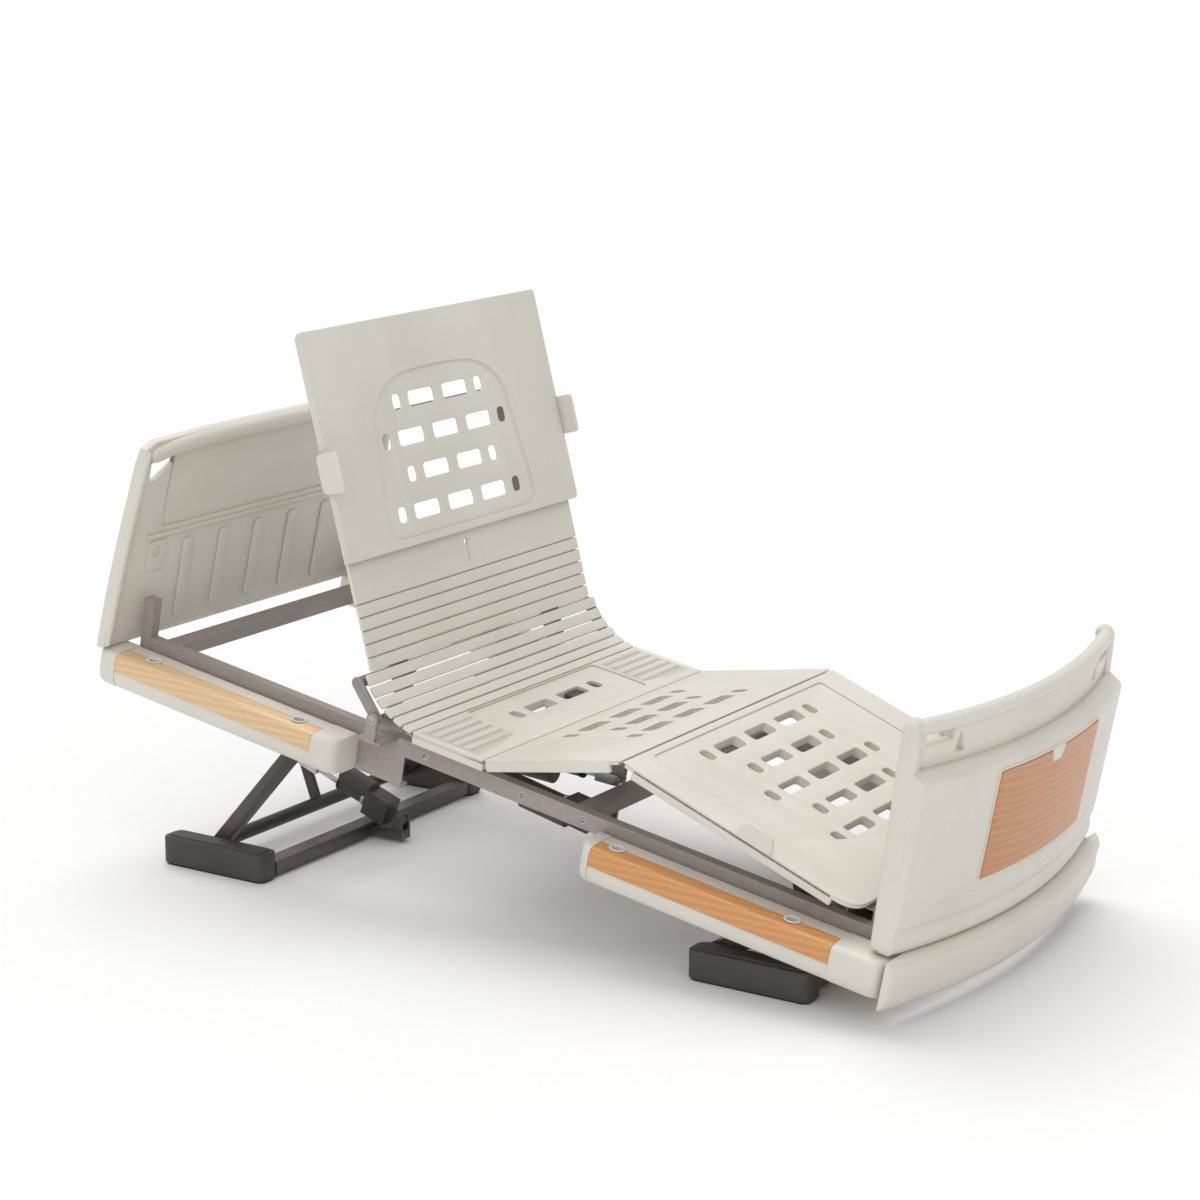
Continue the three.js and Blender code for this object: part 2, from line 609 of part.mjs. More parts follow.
// A web under the thigh panel that narrows to the point where the knee actuator pushes
function thighLever() {
  const top = -SKIN - GAP;
  const [x, z] = KNEE_LEVER;
  const outline = polygon([[x - 40, top], [x + 50, top], [x + 13, z - 8], [x - 13, z - 8]]);
  const web = slabXZ(outline, [-LEVER_HALF, LEVER_HALF]);
  const shoe = box([x - 50, x + 60], [-20, 20], [top - 5, top]);
  return join([web, shoe]).translate([0, ACTUATORS.knee.y, 0]);
}

// ---------------------------------------------------------------- actuators

// A round bar along X
function barX(radius, [x0, x1], z, sides) {
  const geometry = new THREE.CylinderGeometry(radius, radius, x1 - x0, sides);
  geometry.rotateZ(Math.PI / 2);
  geometry.translate((x0 + x1) / 2, 0, z);
  return solid(geometry);
}

// Drawn along +X from the rear pin: eye, gear case, motor and the long outer tube
function actuatorHousing(length) {
  const eye = link([0, 0], [GEAR_CASE.x[0] + 10, 0], 24, [-10, 10]);
  const bore = barY(FORK_PIN_RADIUS + RUNNING, [-11, 11], 0, 0, 16);
  const gearCase = box(GEAR_CASE.x, [-GEAR_CASE.half, GEAR_CASE.half], GEAR_CASE.z);
  const motorEnd = Math.min(MOTOR.start + MOTOR.length, length - 3);
  const motor = barX(MOTOR.radius, [MOTOR.start, motorEnd], -MOTOR.offset, 16);
  const outer = barX(OUTER_TUBE.radius, [OUTER_TUBE.start, length], 0, 16);
  const hollow = barX(OUTER_TUBE.hollowRadius, [OUTER_TUBE.hollowStart, length + 1], 0, 12);
  return cut(join([eye, gearCase, motor, outer]), [bore, hollow]);
}

// The rod ends in a fork whose two cheeks straddle the lever
function actuatorRod(from, to) {
  const { block, cheekStart, half, height, clearance } = FORK;
  const rod = barX(ROD_RADIUS, [from, to + block[0] + 4], 0, 12);
  const body = box([to + block[0], to + block[1]], [-half, half], [-height / 2, height / 2]);
  const cheek = link([to + cheekStart, 0], [to, 0], height, [LEVER_HALF + clearance, half]);
  return join([rod, body, cheek, mirrorY(cheek)]);
}

function actuatorMeshes({ name, y, mount, retract, motorOnTop = false }, fork) {
  const [dx, dz] = [fork[0] - mount[0], fork[1] - mount[1]];
  const length = Math.hypot(dx, dz);
  const turn = Math.atan2(dz, dx);
  const housingLength = length - retract + FORK.block[0] - RETRACTED_GAP;
  const place = (body) => body
    .rotate([0, THREE.MathUtils.radToDeg(-turn), 0])
    .translate([mount[0], y, mount[1]]);
  const pointsBack = Math.abs(turn) > Math.PI / 2;
  const housing = actuatorHousing(housingLength);
  const upright = pointsBack === motorOnTop ? housing : housing.mirror([0, 0, 1]);
  const rod = actuatorRod(OUTER_TUBE.hollowStart + 3 + retract, length);
  return [meshOf(`${name}_housing`, place(upright), darkPlastic), meshOf(`${name}_rod`, place(rod), steel)];
}

// ---------------------------------------------------------------- assembly

// A point drawn in the frame's coordinates, in the level coordinates that the floor pads use
function tilted([x, z]) {
  return [
    x * Math.cos(TILT) + z * Math.sin(TILT) + TILT_SHIFT.x,
    -x * Math.sin(TILT) + z * Math.cos(TILT) + TILT_SHIFT.z,
  ];
}

// A vector turned by an angle about +Y
function turned([x, z], angle) {
  return [x * Math.cos(angle) + z * Math.sin(angle), -x * Math.sin(angle) + z * Math.cos(angle)];
}

const shifted = ([ax, az], [bx, bz]) => [ax + bx, az + bz];
const between = ([ax, az], [bx, bz], t) => [ax + (bx - ax) * t, az + (bz - az) * t];

const bed = new THREE.Group();
bed.position.x = -CENTRE_X;

const headTop = tilted([ROLLER.x, ROLLER.z]);
const footTop = tilted([FOOT_PIVOT.x, FOOT_PIVOT.z]);
const headShaft = [HEAD_BASE_X, PIVOT_HEIGHT];
const footShaft = [FOOT_BASE_X, PIVOT_HEIGHT];

const base = new THREE.Group();
base.add(
  ...pair('head_floor_pad', floorPad(HEAD_PAD, HEAD_BASE_X), darkPlastic),
  ...pair('foot_floor_pad', floorPad(FOOT_PAD, FOOT_BASE_X), darkPlastic),
  meshOf('head_pivot_shaft', pivotShaft(HEAD_BASE_X), steel),
  meshOf('foot_pivot_shaft', pivotShaft(FOOT_BASE_X), steel),
  meshOf('head_base_beam', baseBeam(BASE_BEAM.head, ACTUATORS.head), darkSteel),
  meshOf('foot_base_beam', baseBeam(BASE_BEAM.foot, ACTUATORS.foot), darkSteel),
);

// Pins for the rollers, and the cross tube that joins the head arms below their tops
function headArmExtras() {
  const armLength = Math.hypot(headTop[0] - headShaft[0], headTop[1] - headShaft[1]);
  const centre = between(headShaft, headTop, 1 - HEAD_TUBE.setback / armLength);
  const pin = barY(TRACK_PIN.radius, [ARM_OUTER - 1, TRACK_PIN.end], ...headTop, 16);
  const crossTube = barY(HEAD_TUBE.radius, [-ARM_INNER - 1, ARM_INNER + 1], ...centre);
  return [pin, mirrorY(pin), crossTube];
}

function pivotTube([x, z]) {
  const bore = barY(SHAFT_RADIUS + RUNNING, [-ARM_INNER - 1, ARM_INNER + 1], x, z);
  return barY(PIVOT_TUBE_RADIUS, [-ARM_INNER + GAP, ARM_INNER - GAP], x, z, 24).subtract(bore);
}

const footBore = barY(SHAFT_RADIUS + RUNNING, [-ARM_OUTER - 1, ARM_OUTER + 1], ...footTop);
const lift = new THREE.Group();
lift.add(
  meshOf('head_lift_arms', liftArms(headShaft, headTop, LIFT_LEVER.head, headArmExtras()), darkSteel),
  ...pair('head_roller', headRoller(headTop), darkPlastic),
  meshOf('foot_lift_arms', liftArms(footShaft, footTop, LIFT_LEVER.foot, []).subtract(footBore), darkSteel),
  meshOf('foot_pivot_tube', pivotTube(footTop), steel),
  ...actuatorMeshes(ACTUATORS.head, shifted(headShaft, LIFT_LEVER.head)),
  ...actuatorMeshes(ACTUATORS.foot, shifted(footShaft, LIFT_LEVER.foot)),
);

const frame = new THREE.Group();
frame.rotation.y = TILT;
frame.position.set(TILT_SHIFT.x, 0, TILT_SHIFT.z);
frame.add(
  ...pair('frame_rail', frameRail(), frameGrey),
  meshOf('frame_cross_head', crossMember(...CROSS_HEAD), frameGrey),
  meshOf('frame_cross_middle', crossMember(...CROSS_MIDDLE)
    .add(actuatorEars(ACTUATORS.knee, [ACTUATORS.knee.mount[0], CROSS_MIDDLE[1][0] + 2])), frameGrey),
  meshOf('frame_cross_rear', crossMember(...CROSS_REAR)
    .add(actuatorEars(ACTUATORS.back, [ACTUATORS.back.mount[0], CROSS_REAR[1][0] + 5])), frameGrey),
  meshOf('frame_cross_foot', crossMember(...CROSS_FOOT), frameGrey),
  meshOf('seat_panel', seatPanel(), shell),
  meshOf('control_box', box(CONTROL_BOX.x, CONTROL_BOX.y, CONTROL_BOX.z), darkPlastic),
  ...pair('back_hinge_bracket', backHingeBracket(), frameGrey),
  ...pair('headboard_bracket', headboardBracket(), frameGrey),
);
for (const data of COVERS) {
  const wood = data.end === 'head' ? headWood : footWood;
  frame.add(
    ...pair(`${data.end}_corner_cover`, coverCorner(data), shell),
    ...pair(`${data.end}_wood_inlay`, coverInlay(data), wood),
  );
}
frame.add(
  meshOf('headboard', headboard(), shell),
  meshOf('footboard', footboard(), shell),
  meshOf('footboard_wood_panel', footboardPlate(), footWood),
  ...actuatorMeshes(ACTUATORS.back, shifted([BACK_PIVOT_X, DECK_TOP], turned(BACK_LEVER, BACK_ANGLE))),
  ...actuatorMeshes(ACTUATORS.knee, shifted([THIGH_HINGE_X, DECK_TOP], turned(KNEE_LEVER, -THIGH_ANGLE))),
);

// Back: its pivot line lies on the seat's surface, and x runs down from the head towards it
const back = new THREE.Group();
back.position.set(BACK_PIVOT_X, 0, DECK_TOP);
back.rotation.y = BACK_ANGLE;
back.add(
  meshOf('back_frame', backFrame(), frameGrey),
  meshOf('back_panel', backPanel(), shell),
  ...pair('back_retainer_tab', retainerTab(), shell),
);
frame.add(back);

// Slats: each one is hinged to the last along the line where their top faces meet
let carrier = frame;
let hinge = [BEND_START, DECK_TOP];
for (let i = 1; i <= SLAT_COUNT + 1; i += 1) {
  const piece = new THREE.Group();
  piece.position.set(hinge[0], 0, hinge[1]);
  piece.rotation.y = BEND;
  piece.add(i <= SLAT_COUNT
    ? meshOf(`slat_${i}`, slat(), shell)
    : meshOf('lower_back_sheet', lowerSheet(), shell));
  carrier.add(piece);
  carrier = piece;
  hinge = [-SLAT_PITCH, 0];
}

const thigh = new THREE.Group();
thigh.position.set(THIGH_HINGE_X, 0, DECK_TOP);
thigh.rotation.y = -THIGH_ANGLE;
thigh.add(meshOf('thigh_panel', thighPanel(), shell), meshOf('thigh_lever', thighLever(), frameGrey));
const calf = new THREE.Group();
calf.position.set(THIGH_LENGTH, 0, 0);
calf.rotation.y = CALF_ANGLE;
calf.add(meshOf('calf_panel', calfPanel(), shell));
thigh.add(calf);
frame.add(thigh);

bed.add(base, lift, frame);
bed.updateMatrixWorld(true);

export default bed;
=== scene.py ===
# Adjustable hospital bed: the moulded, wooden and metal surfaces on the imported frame.
# Everything is in metres. Each part of the bed is drawn in its own coordinates, whose matrix comes
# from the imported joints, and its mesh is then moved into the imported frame.

import json
import math

import bmesh
import bpy
from mathutils import Matrix, Vector


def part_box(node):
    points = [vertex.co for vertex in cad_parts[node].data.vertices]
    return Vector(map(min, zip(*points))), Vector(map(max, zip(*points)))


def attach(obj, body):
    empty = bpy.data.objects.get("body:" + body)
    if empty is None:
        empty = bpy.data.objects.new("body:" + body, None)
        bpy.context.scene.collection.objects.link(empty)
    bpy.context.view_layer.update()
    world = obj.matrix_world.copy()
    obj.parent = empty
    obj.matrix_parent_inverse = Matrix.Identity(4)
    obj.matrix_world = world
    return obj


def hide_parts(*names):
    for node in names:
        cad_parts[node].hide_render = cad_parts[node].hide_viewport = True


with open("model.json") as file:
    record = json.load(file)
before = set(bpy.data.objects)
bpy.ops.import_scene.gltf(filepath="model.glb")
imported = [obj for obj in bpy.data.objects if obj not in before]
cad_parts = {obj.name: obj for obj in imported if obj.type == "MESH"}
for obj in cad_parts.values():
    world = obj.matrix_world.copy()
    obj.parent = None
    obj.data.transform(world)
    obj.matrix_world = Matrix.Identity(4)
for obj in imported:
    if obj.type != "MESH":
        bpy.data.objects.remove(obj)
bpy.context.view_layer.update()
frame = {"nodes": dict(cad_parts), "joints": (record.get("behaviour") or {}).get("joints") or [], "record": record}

# ------------------------------------------------------------------ dimensions

CAMERA_PLACE = (3.3480, -5.2931, 2.0981)
CAMERA_AZIMUTH = 32.554  # degrees, as are the next two
CAMERA_ELEVATION = 13.108
CAMERA_ROLL = 0.148
CAMERA_LENS = 89.97  # mm, on a 36 mm sensor
FLOOR_REACH = 150.0
WORLD_STRENGTH = 0.62
# wide, distant lights, so that the floor is evenly lit as far as it can be seen
LAMPS = (  # name, where it shines from, strength, width in degrees
    ("overhead", (-0.35, 0.30, 1.0), 1.35, 50),
    ("front", (0.5, -1.0, 0.9), 0.75, 60),
)

BACK_PIVOT_X = 0.598  # in the main frame's coordinates, which part.mjs draws in
BACK_PIVOT_Z = 0.246

# Ventilation slots. Y is across the bed, and each row's places run along X.
SLOT_LONG = 0.093
SLOT_SHORT = 0.030
SLOT_HEIGHT = 0.034
SLOT_PITCH = 0.126
SLOT_END_GAP = 0.028
SLOT_RADIUS = 0.009
SHORT_SLOT_RADIUS = 0.011
COLLAR_WALL = 0.0025
SEAT_ROWS = [(0.760, 2)]  # place and number of long slots
BACK_ROWS = [(-0.635, 2), (-0.556, 3), (-0.477, 2), (-0.396, 3)]
THIGH_ROWS = [(0.070, 3), (0.150, 2), (0.230, 3)]
CALF_ROWS = [(0.076, 3), (0.158, 2), (0.240, 3), (0.322, 2), (0.404, 3)]

# Slats, strips and the seat
SLAT_COUNT = 6
STRIP_PITCH = 0.027
STRIP_GAP = 0.003
LUG_PLACES = (-0.33, -0.11, 0.11, 0.33)  # of the lugs under each slat
SEAT_RECESS_HALF = 0.25
SEAT_FOOT_X = (0.700, 0.860)
SEAT_FOOT_Y = (0.378, 0.392)

# Corner covers
PLAN_RADIUS = 0.030
SOCKET_PLACES = {"head": (0.0, 0.407), "foot": (1.221, 1.628)}
SOCKET_Y = 0.452
SOCKET_RADIUS = 0.0135

# End boards
HEAD_HALF_LOW = 0.490
HEAD_HALF_HIGH = 0.447
HEAD_SETBACK = 0.022  # of the top over the foot, towards the pillow
HEAD_THICK = 0.042
HEAD_RAIL_RADIUS = 0.0188
HEAD_EDGE_RADIUS = 0.0105
HEAD_FIELD_FLOOR = 0.262
HEAD_FIELD_HALF = (0.352, 0.340)  # at the bottom and at the top
HEAD_RIB_PITCH = 0.125
HEAD_RIB_HALF = 0.016
HEAD_RIB_Z = (0.030, 0.222)
HEAD_LEDGE_HALF = 0.398
HEAD_LEDGE_Z = (0.240, 0.250)
SCREW_PAD_Y = (0.325, 0.385)
SCREW_PAD_Z = (0.160, 0.232)
FOOT = {
    "inner": 1.800, "outer": 1.850, "rail_inner": 1.776, "rail_outer": 1.812,
    "bow": 0.062, "half": 0.460, "bottom": 0.186, "ledge": 0.558,
}
SKIRT = {"outer": 1.870, "bow": 0.070, "half": 0.490}

# Small metal parts
RAIL_BOLTS_X = (0.70, 0.95, 1.10)
RAIL_BOLT_Z = 0.184
RAIL_CAP_Z = (0.1685, 0.1995)
CLAMP_BAND_PLACE = 0.104  # from an actuator's rear pin

# ------------------------------------------------------------------ places taken from the frame

JOINTS = {j["name"]: j for j in frame["joints"]}


def limit(joint, end):
    return math.radians(JOINTS[joint]["range_deg"][end])


def turned(angle):
    return Matrix.Rotation(angle, 4, "Y")


def at_joint(joint, angle):
    return Matrix.Translation(JOINTS[joint]["pos_m"]) @ turned(angle)


TILT = -limit("frame_tilt", 0)
BACK_ANGLE = -limit("back_raise", 0)
BEND = BACK_ANGLE / (SLAT_COUNT + 1)
THIGH_ANGLE = limit("thigh_raise", 1)
CALF_ANGLE = THIGH_ANGLE * -next(
    c["ratio"] for c in frame["record"]["behaviour"]["couplings"] if c["joint"] == "calf_bend"
)

BACK_PIVOT = Vector((BACK_PIVOT_X, 0, BACK_PIVOT_Z))
BACK = at_joint("back_raise", TILT + BACK_ANGLE)
THIGH = at_joint("thigh_raise", TILT - THIGH_ANGLE)
CALF = at_joint("calf_bend", TILT - THIGH_ANGLE + CALF_ANGLE)
MAIN = at_joint("back_raise", TILT) @ Matrix.Translation(-BACK_PIVOT)
LEVEL = Matrix.Identity(4)

# Turns what plate() makes so that it stands: its x runs along Y, its y up Z, its z along X
UPRIGHT = Matrix(((0, 0, 1, 0), (1, 0, 0, 0), (0, 1, 0, 0), (0, 0, 0, 1)))
# The same for a plate in the XZ plane, whose thickness runs along Y
SIDEWAYS = Matrix(((1, 0, 0, 0), (0, 0, -1, 0), (0, 1, 0, 0), (0, 0, 0, 1)))


def inside(node, matrix):
    """Lowest and highest corner of a CAD node in the matrix's own coordinates."""
    back = matrix.inverted()
    points = [back @ v.co for v in frame["nodes"][node].data.vertices]
    low = Vector([min(p[i] for p in points) for i in range(3)])
    high = Vector([max(p[i] for p in points) for i in range(3)])
    return low, high


# ------------------------------------------------------------------ materials


def node(tree, kind, inputs=None, **settings):
    made = tree.nodes.new(kind)
    for key, value in settings.items():
        setattr(made, key, value)
    for key, value in (inputs or {}).items():
        if isinstance(value, bpy.types.NodeSocket):
            tree.links.new(value, made.inputs[key])
        else:
            made.inputs[key].default_value = value
    return made


def mixed(tree, factor, a, b):
    """A colour between a and b."""
    mix = node(tree, "ShaderNodeMix", data_type="RGBA")
    tree.links.new(factor, mix.inputs[0])
    for socket, value in ((mix.inputs[6], a), (mix.inputs[7], b)):
        if isinstance(value, bpy.types.NodeSocket):
            tree.links.new(value, socket)
        else:
            socket.default_value = (*value, 1)
    return mix.outputs[2]


def spread(tree, value, low, high, out_low, out_high):
    return node(tree, "ShaderNodeMapRange", {
        "Value": value, "From Min": low, "From Max": high, "To Min": out_low, "To Max": out_high,
    }).outputs["Result"]


def noise(tree, vector, scale, detail=3.0, roughness=0.5):
    return node(tree, "ShaderNodeTexNoise", {
        "Vector": vector, "Scale": scale, "Detail": detail, "Roughness": roughness,
    }).outputs["Fac"]


def new_material(name, metallic=0.0, coat=0.0):
    material = bpy.data.materials.new(name)
    material.use_nodes = True
    tree = material.node_tree
    shader = tree.nodes["Principled BSDF"]
    shader.inputs["Metallic"].default_value = metallic
    shader.inputs["Coat Weight"].default_value = coat
    vector = node(tree, "ShaderNodeTexCoord").outputs["Object"]
    return material, tree, shader, vector


def finish_surface(tree, shader, color, rough, height, strength, depth, edge):
    """Links colour, roughness and bump; edge is the radius that sharp edges are softened to."""
    soft = node(tree, "ShaderNodeBevel", {"Radius": edge}, samples=4)
    bump = node(tree, "ShaderNodeBump", {
        "Height": height, "Strength": strength, "Distance": depth, "Normal": soft.outputs["Normal"],
    })
    tree.links.new(color, shader.inputs["Base Color"])
    tree.links.new(rough, shader.inputs["Roughness"])
    tree.links.new(bump.outputs["Normal"], shader.inputs["Normal"])


def plastic(name, pale, dull, rough=(0.36, 0.5), grain=1400.0, strength=0.25, edge=0.0012):
    """Moulded plastic: faint cloudy tone, painted shade darkening the corners and a fine spark-eroded grain."""
    material, tree, shader, vector = new_material(name)
    cloud = noise(tree, vector, 4.0, 4.0)
    tone = mixed(tree, spread(tree, cloud, 0.35, 0.7, 0.0, 1.0), pale, dull)
    # painted shade: ambient occlusion darkens the colour in corners, creases and between parts
    corner = node(tree, "ShaderNodeAmbientOcclusion", {"Distance": 0.02}, samples=4)
    corner_shade = spread(tree, corner.outputs["AO"], 0.35, 0.95, 0.45, 0.0)
    color = mixed(tree, corner_shade, tone, tuple(c * 0.62 for c in dull))
    fine = noise(tree, vector, grain, 2.0)
    gloss = spread(tree, noise(tree, vector, 22.0, 5.0), 0.3, 0.7, *rough)
    finish_surface(tree, shader, color, gloss, fine, strength, 0.0002, edge)
    return material


def paint(name, base, worn):
    """Powder coat on steel: orange peel, and edges rubbed a little paler."""
    material, tree, shader, vector = new_material(name, 0.15)
    point = node(tree, "ShaderNodeNewGeometry").outputs["Pointiness"]
    patchy = noise(tree, vector, 60.0, 5.0, 0.65)
    edges = spread(tree, point, 0.52, 0.6, 0.0, 0.75)
    rubbed = node(tree, "ShaderNodeMath", {0: edges, 1: patchy}, operation="MULTIPLY").outputs[0]
    color = mixed(tree, rubbed, base, worn)
    gloss = spread(tree, noise(tree, vector, 14.0, 3.0), 0.3, 0.7, 0.32, 0.48)
    peel = noise(tree, vector, 420.0, 2.0)
    finish_surface(tree, shader, color, gloss, peel, 0.3, 0.0002, 0.0015)
    return material


def ground_steel(name, tint):
    """Steel ground along Y, so its fine scratches run round the bar."""
    material, tree, shader, vector = new_material(name, 1.0)
    stretched = node(tree, "ShaderNodeMapping", {"Vector": vector, "Scale": (40, 900, 40)}).outputs[0]
    scratch = noise(tree, stretched, 1.0, 4.0)
    color = mixed(tree, scratch, tint, tuple(c * 0.7 for c in tint))
    gloss = spread(tree, scratch, 0.3, 0.7, 0.22, 0.4)
    finish_surface(tree, shader, color, gloss, scratch, 0.15, 0.0001, 0.0006)
    return material


def wood(name, pale, mid, dark, stretch, turn=0.0):
    """Beech under lacquer: growth bands, fine flecks and pores, all drawn out along the grain."""
    material, tree, shader, vector = new_material(name, coat=0.25)
    shader.inputs["Coat Roughness"].default_value = 0.22
    along = node(tree, "ShaderNodeMapping", {
        "Vector": vector, "Rotation": (0, turn, 0), "Scale": stretch,
    }).outputs[0]
    bands = node(tree, "ShaderNodeTexWave", {
        "Vector": along, "Scale": 0.55, "Distortion": 4.0, "Detail": 3.0, "Detail Scale": 0.8,
    }, bands_direction="DIAGONAL").outputs["Fac"]
    tone = mixed(tree, spread(tree, bands, 0.1, 0.9, 0.0, 1.0), pale, mid)
    fleck = noise(tree, along, 22.0, 6.0, 0.7)
    marks = spread(tree, fleck, 0.5, 0.72, 0.0, 0.5)
    color = mixed(tree, marks, tone, dark)
    gloss = spread(tree, fleck, 0.3, 0.7, 0.34, 0.46)
    finish_surface(tree, shader, color, gloss, fleck, 0.12, 0.0002, 0.001)
    return material


SHELL = plastic("shell_plastic", (0.715, 0.675, 0.605), (0.665, 0.625, 0.555))
BUSH = plastic("socket_plastic", (0.8, 0.79, 0.76), (0.7, 0.69, 0.66), rough=(0.25, 0.35))
PAD = plastic("pad_plastic", (0.048, 0.04, 0.036), (0.07, 0.058, 0.052), (0.45, 0.62), 700.0, 0.5, 0.003)
RUBBER = plastic("sole_rubber", (0.018, 0.017, 0.016), (0.03, 0.028, 0.027), (0.7, 0.85), 500.0, 0.6)
FRAME_PAINT = paint("frame_paint", (0.27, 0.235, 0.21), (0.45, 0.40, 0.365))
ARM_PAINT = paint("arm_paint", (0.05, 0.041, 0.037), (0.2, 0.17, 0.155))
STEEL = ground_steel("ground_steel", (0.58, 0.58, 0.59))
ALONG_X = (2, 60, 60)
ALONG_Y = (60, 2, 60)
HEAD_WOOD = wood("head_beech", (0.76, 0.54, 0.30), (0.70, 0.47, 0.25), (0.56, 0.35, 0.17), ALONG_X, TILT)
FOOT_WOOD = wood("foot_beech", (0.66, 0.32, 0.115), (0.60, 0.27, 0.092), (0.46, 0.18, 0.055), ALONG_X, TILT)
PANEL_WOOD = wood("panel_beech", (0.56, 0.25, 0.095), (0.50, 0.21, 0.078), (0.38, 0.145, 0.05), ALONG_Y)

# ------------------------------------------------------------------ mesh building


def round_corners(points, radius, steps=5):
    """The same outline with each corner replaced by an arc of about that radius."""
    out = []
    count = len(points)
    for i, corner in enumerate(points):
        corner = Vector(corner)
        before = Vector(points[i - 1]) - corner
        after = Vector(points[(i + 1) % count]) - corner
        reach = min(radius, before.length * 0.48, after.length * 0.48)
        a = corner + before.normalized() * reach
        b = corner + after.normalized() * reach
        for k in range(steps + 1):
            t = k / steps
            out.append(a.lerp(corner, t).lerp(corner.lerp(b, t), t))
    return [(p.x, p.y) for p in out]


def rectangle(x, y, radius=0.0, steps=5):
    corners = [(x[0], y[0]), (x[1], y[0]), (x[1], y[1]), (x[0], y[1])]
    return round_corners(corners, radius, steps) if radius else corners


def circle(x, y, radius, steps=28):
    turn = 2 * math.pi / steps
    return [(x + radius * math.cos(i * turn), y + radius * math.sin(i * turn)) for i in range(steps)]


def plate(outline, z, holes=(), edge=0.002, matrix=None):
    """A flat moulding between two heights, with its rim and its holes' rims rounded."""
    curve = bpy.data.curves.new("plate", "CURVE")
    curve.dimensions = "2D"
    curve.fill_mode = "BOTH"
    curve.bevel_depth = edge
    curve.bevel_resolution = 2
    curve.extrude = max((z[1] - z[0]) / 2 - edge, 0.0)
    curve.offset = -edge
    for points in [outline, *holes]:
        spline = curve.splines.new("POLY")
        spline.points.add(len(points) - 1)
        spline.use_cyclic_u = True
        for target, (x, y) in zip(spline.points, points):
            target.co = (x, y, 0, 1)
    holder = bpy.data.objects.new("plate", curve)
    mesh = bpy.data.meshes.new_from_object(holder)
    mesh.transform(Matrix.Translation((0, 0, (z[0] + z[1]) / 2)))
    if matrix:
        mesh.transform(matrix)
    bpy.data.objects.remove(holder)
    bpy.data.curves.remove(curve)
    return mesh


def block(x, y, z, radius=0.004, edge=0.002):
    return plate(rectangle(x, y, radius), z, edge=edge)


def loft(rings):
    """A closed body through rings of the same number of points, with flat ends."""
    mesh = bpy.data.meshes.new("loft")
    count = len(rings[0])
    faces = [list(range(count))[::-1]]
    for r in range(len(rings) - 1):
        for i in range(count):
            j = (i + 1) % count
            faces.append([r * count + i, r * count + j, (r + 1) * count + j, (r + 1) * count + i])
    faces.append([(len(rings) - 1) * count + i for i in range(count)])
    mesh.from_pydata([p for ring in rings for p in ring], [], faces)
    return mesh


def turned_part(profile, matrix=None, steps=32):
    """A profile of (radius, height) pairs spun round Z. A profile that closes on itself is a ring."""
    closed = profile[0] == profile[-1]
    rings = profile[:-1] if closed else profile
    points = []
    faces = []
    for i in range(steps):
        angle = 2 * math.pi * i / steps
        points += [(r * math.cos(angle), r * math.sin(angle), h) for r, h in rings]
    count = len(rings)
    for i in range(steps):
        nxt = (i + 1) % steps
        for k in range(count if closed else count - 1):
            m = (k + 1) % count
            faces.append([i * count + k, nxt * count + k, nxt * count + m, i * count + m])
    mesh = bpy.data.meshes.new("turned")
    mesh.from_pydata(points, [], faces)
    if matrix:
        mesh.transform(matrix)
    return mesh


def sweep(points, radius):
    """A round bar through the points, drawn in a little at both ends."""
    curve = bpy.data.curves.new("sweep", "CURVE")
    curve.dimensions = "3D"
    curve.bevel_depth = radius
    curve.bevel_resolution = 6
    curve.use_fill_caps = True
    spline = curve.splines.new("POLY")
    spline.points.add(len(points) - 1)
    for i, (target, p) in enumerate(zip(spline.points, points)):
        target.co = (*p, 1)
        target.radius = 0.72 if i in (0, len(points) - 1) else 1.0
    holder = bpy.data.objects.new("sweep", curve)
    mesh = bpy.data.meshes.new_from_object(holder)
    bpy.data.objects.remove(holder)
    bpy.data.curves.remove(curve)
    return mesh


def along_y(x, y, z):
    """Places a turned part, whose axis is Z, with its axis along Y."""
    return Matrix.Translation((x, y, z)) @ Matrix.Rotation(-math.pi / 2, 4, "X")


def piece(name, meshes, matrix, look, body, stands_for=(), smooth=35):
    """Joins the meshes into one object in the row frame, on its body and with its material."""
    bm = bmesh.new()
    for mesh in meshes:
        bm.from_mesh(mesh)
        bpy.data.meshes.remove(mesh)
    bmesh.ops.remove_doubles(bm, verts=bm.verts, dist=1e-6)
    bmesh.ops.recalc_face_normals(bm, faces=bm.faces)
    joined = bpy.data.meshes.new(name)
    bm.to_mesh(joined)
    bm.free()
    joined.transform(matrix)
    for polygon in joined.polygons:
        polygon.use_smooth = True
    joined.set_sharp_from_angle(angle=math.radians(smooth))
    joined.materials.clear()
    joined.materials.append(look)
    obj = bpy.data.objects.new(name, joined)
    bpy.context.scene.collection.objects.link(obj)
    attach(obj, body)
    if stands_for:
        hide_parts(*stands_for)
    return obj


def cut_away(obj, tool_mesh):
    """Cuts a closed mesh out of a piece."""
    bm = bmesh.new()
    bm.from_mesh(tool_mesh)
    bmesh.ops.remove_doubles(bm, verts=bm.verts, dist=1e-6)
    bmesh.ops.recalc_face_normals(bm, faces=bm.faces)
    bm.to_mesh(tool_mesh)
    bm.free()
    tool = bpy.data.objects.new("tool", tool_mesh)
    bpy.context.scene.collection.objects.link(tool)
    cutter = obj.modifiers.new("cut", "BOOLEAN")
    cutter.operation = "DIFFERENCE"
    cutter.solver = "EXACT"
    cutter.object = tool
    graph = bpy.context.evaluated_depsgraph_get()
    made = bpy.data.meshes.new_from_object(obj.evaluated_get(graph))
    obj.modifiers.clear()
    obj.data = made
    bpy.data.objects.remove(tool)


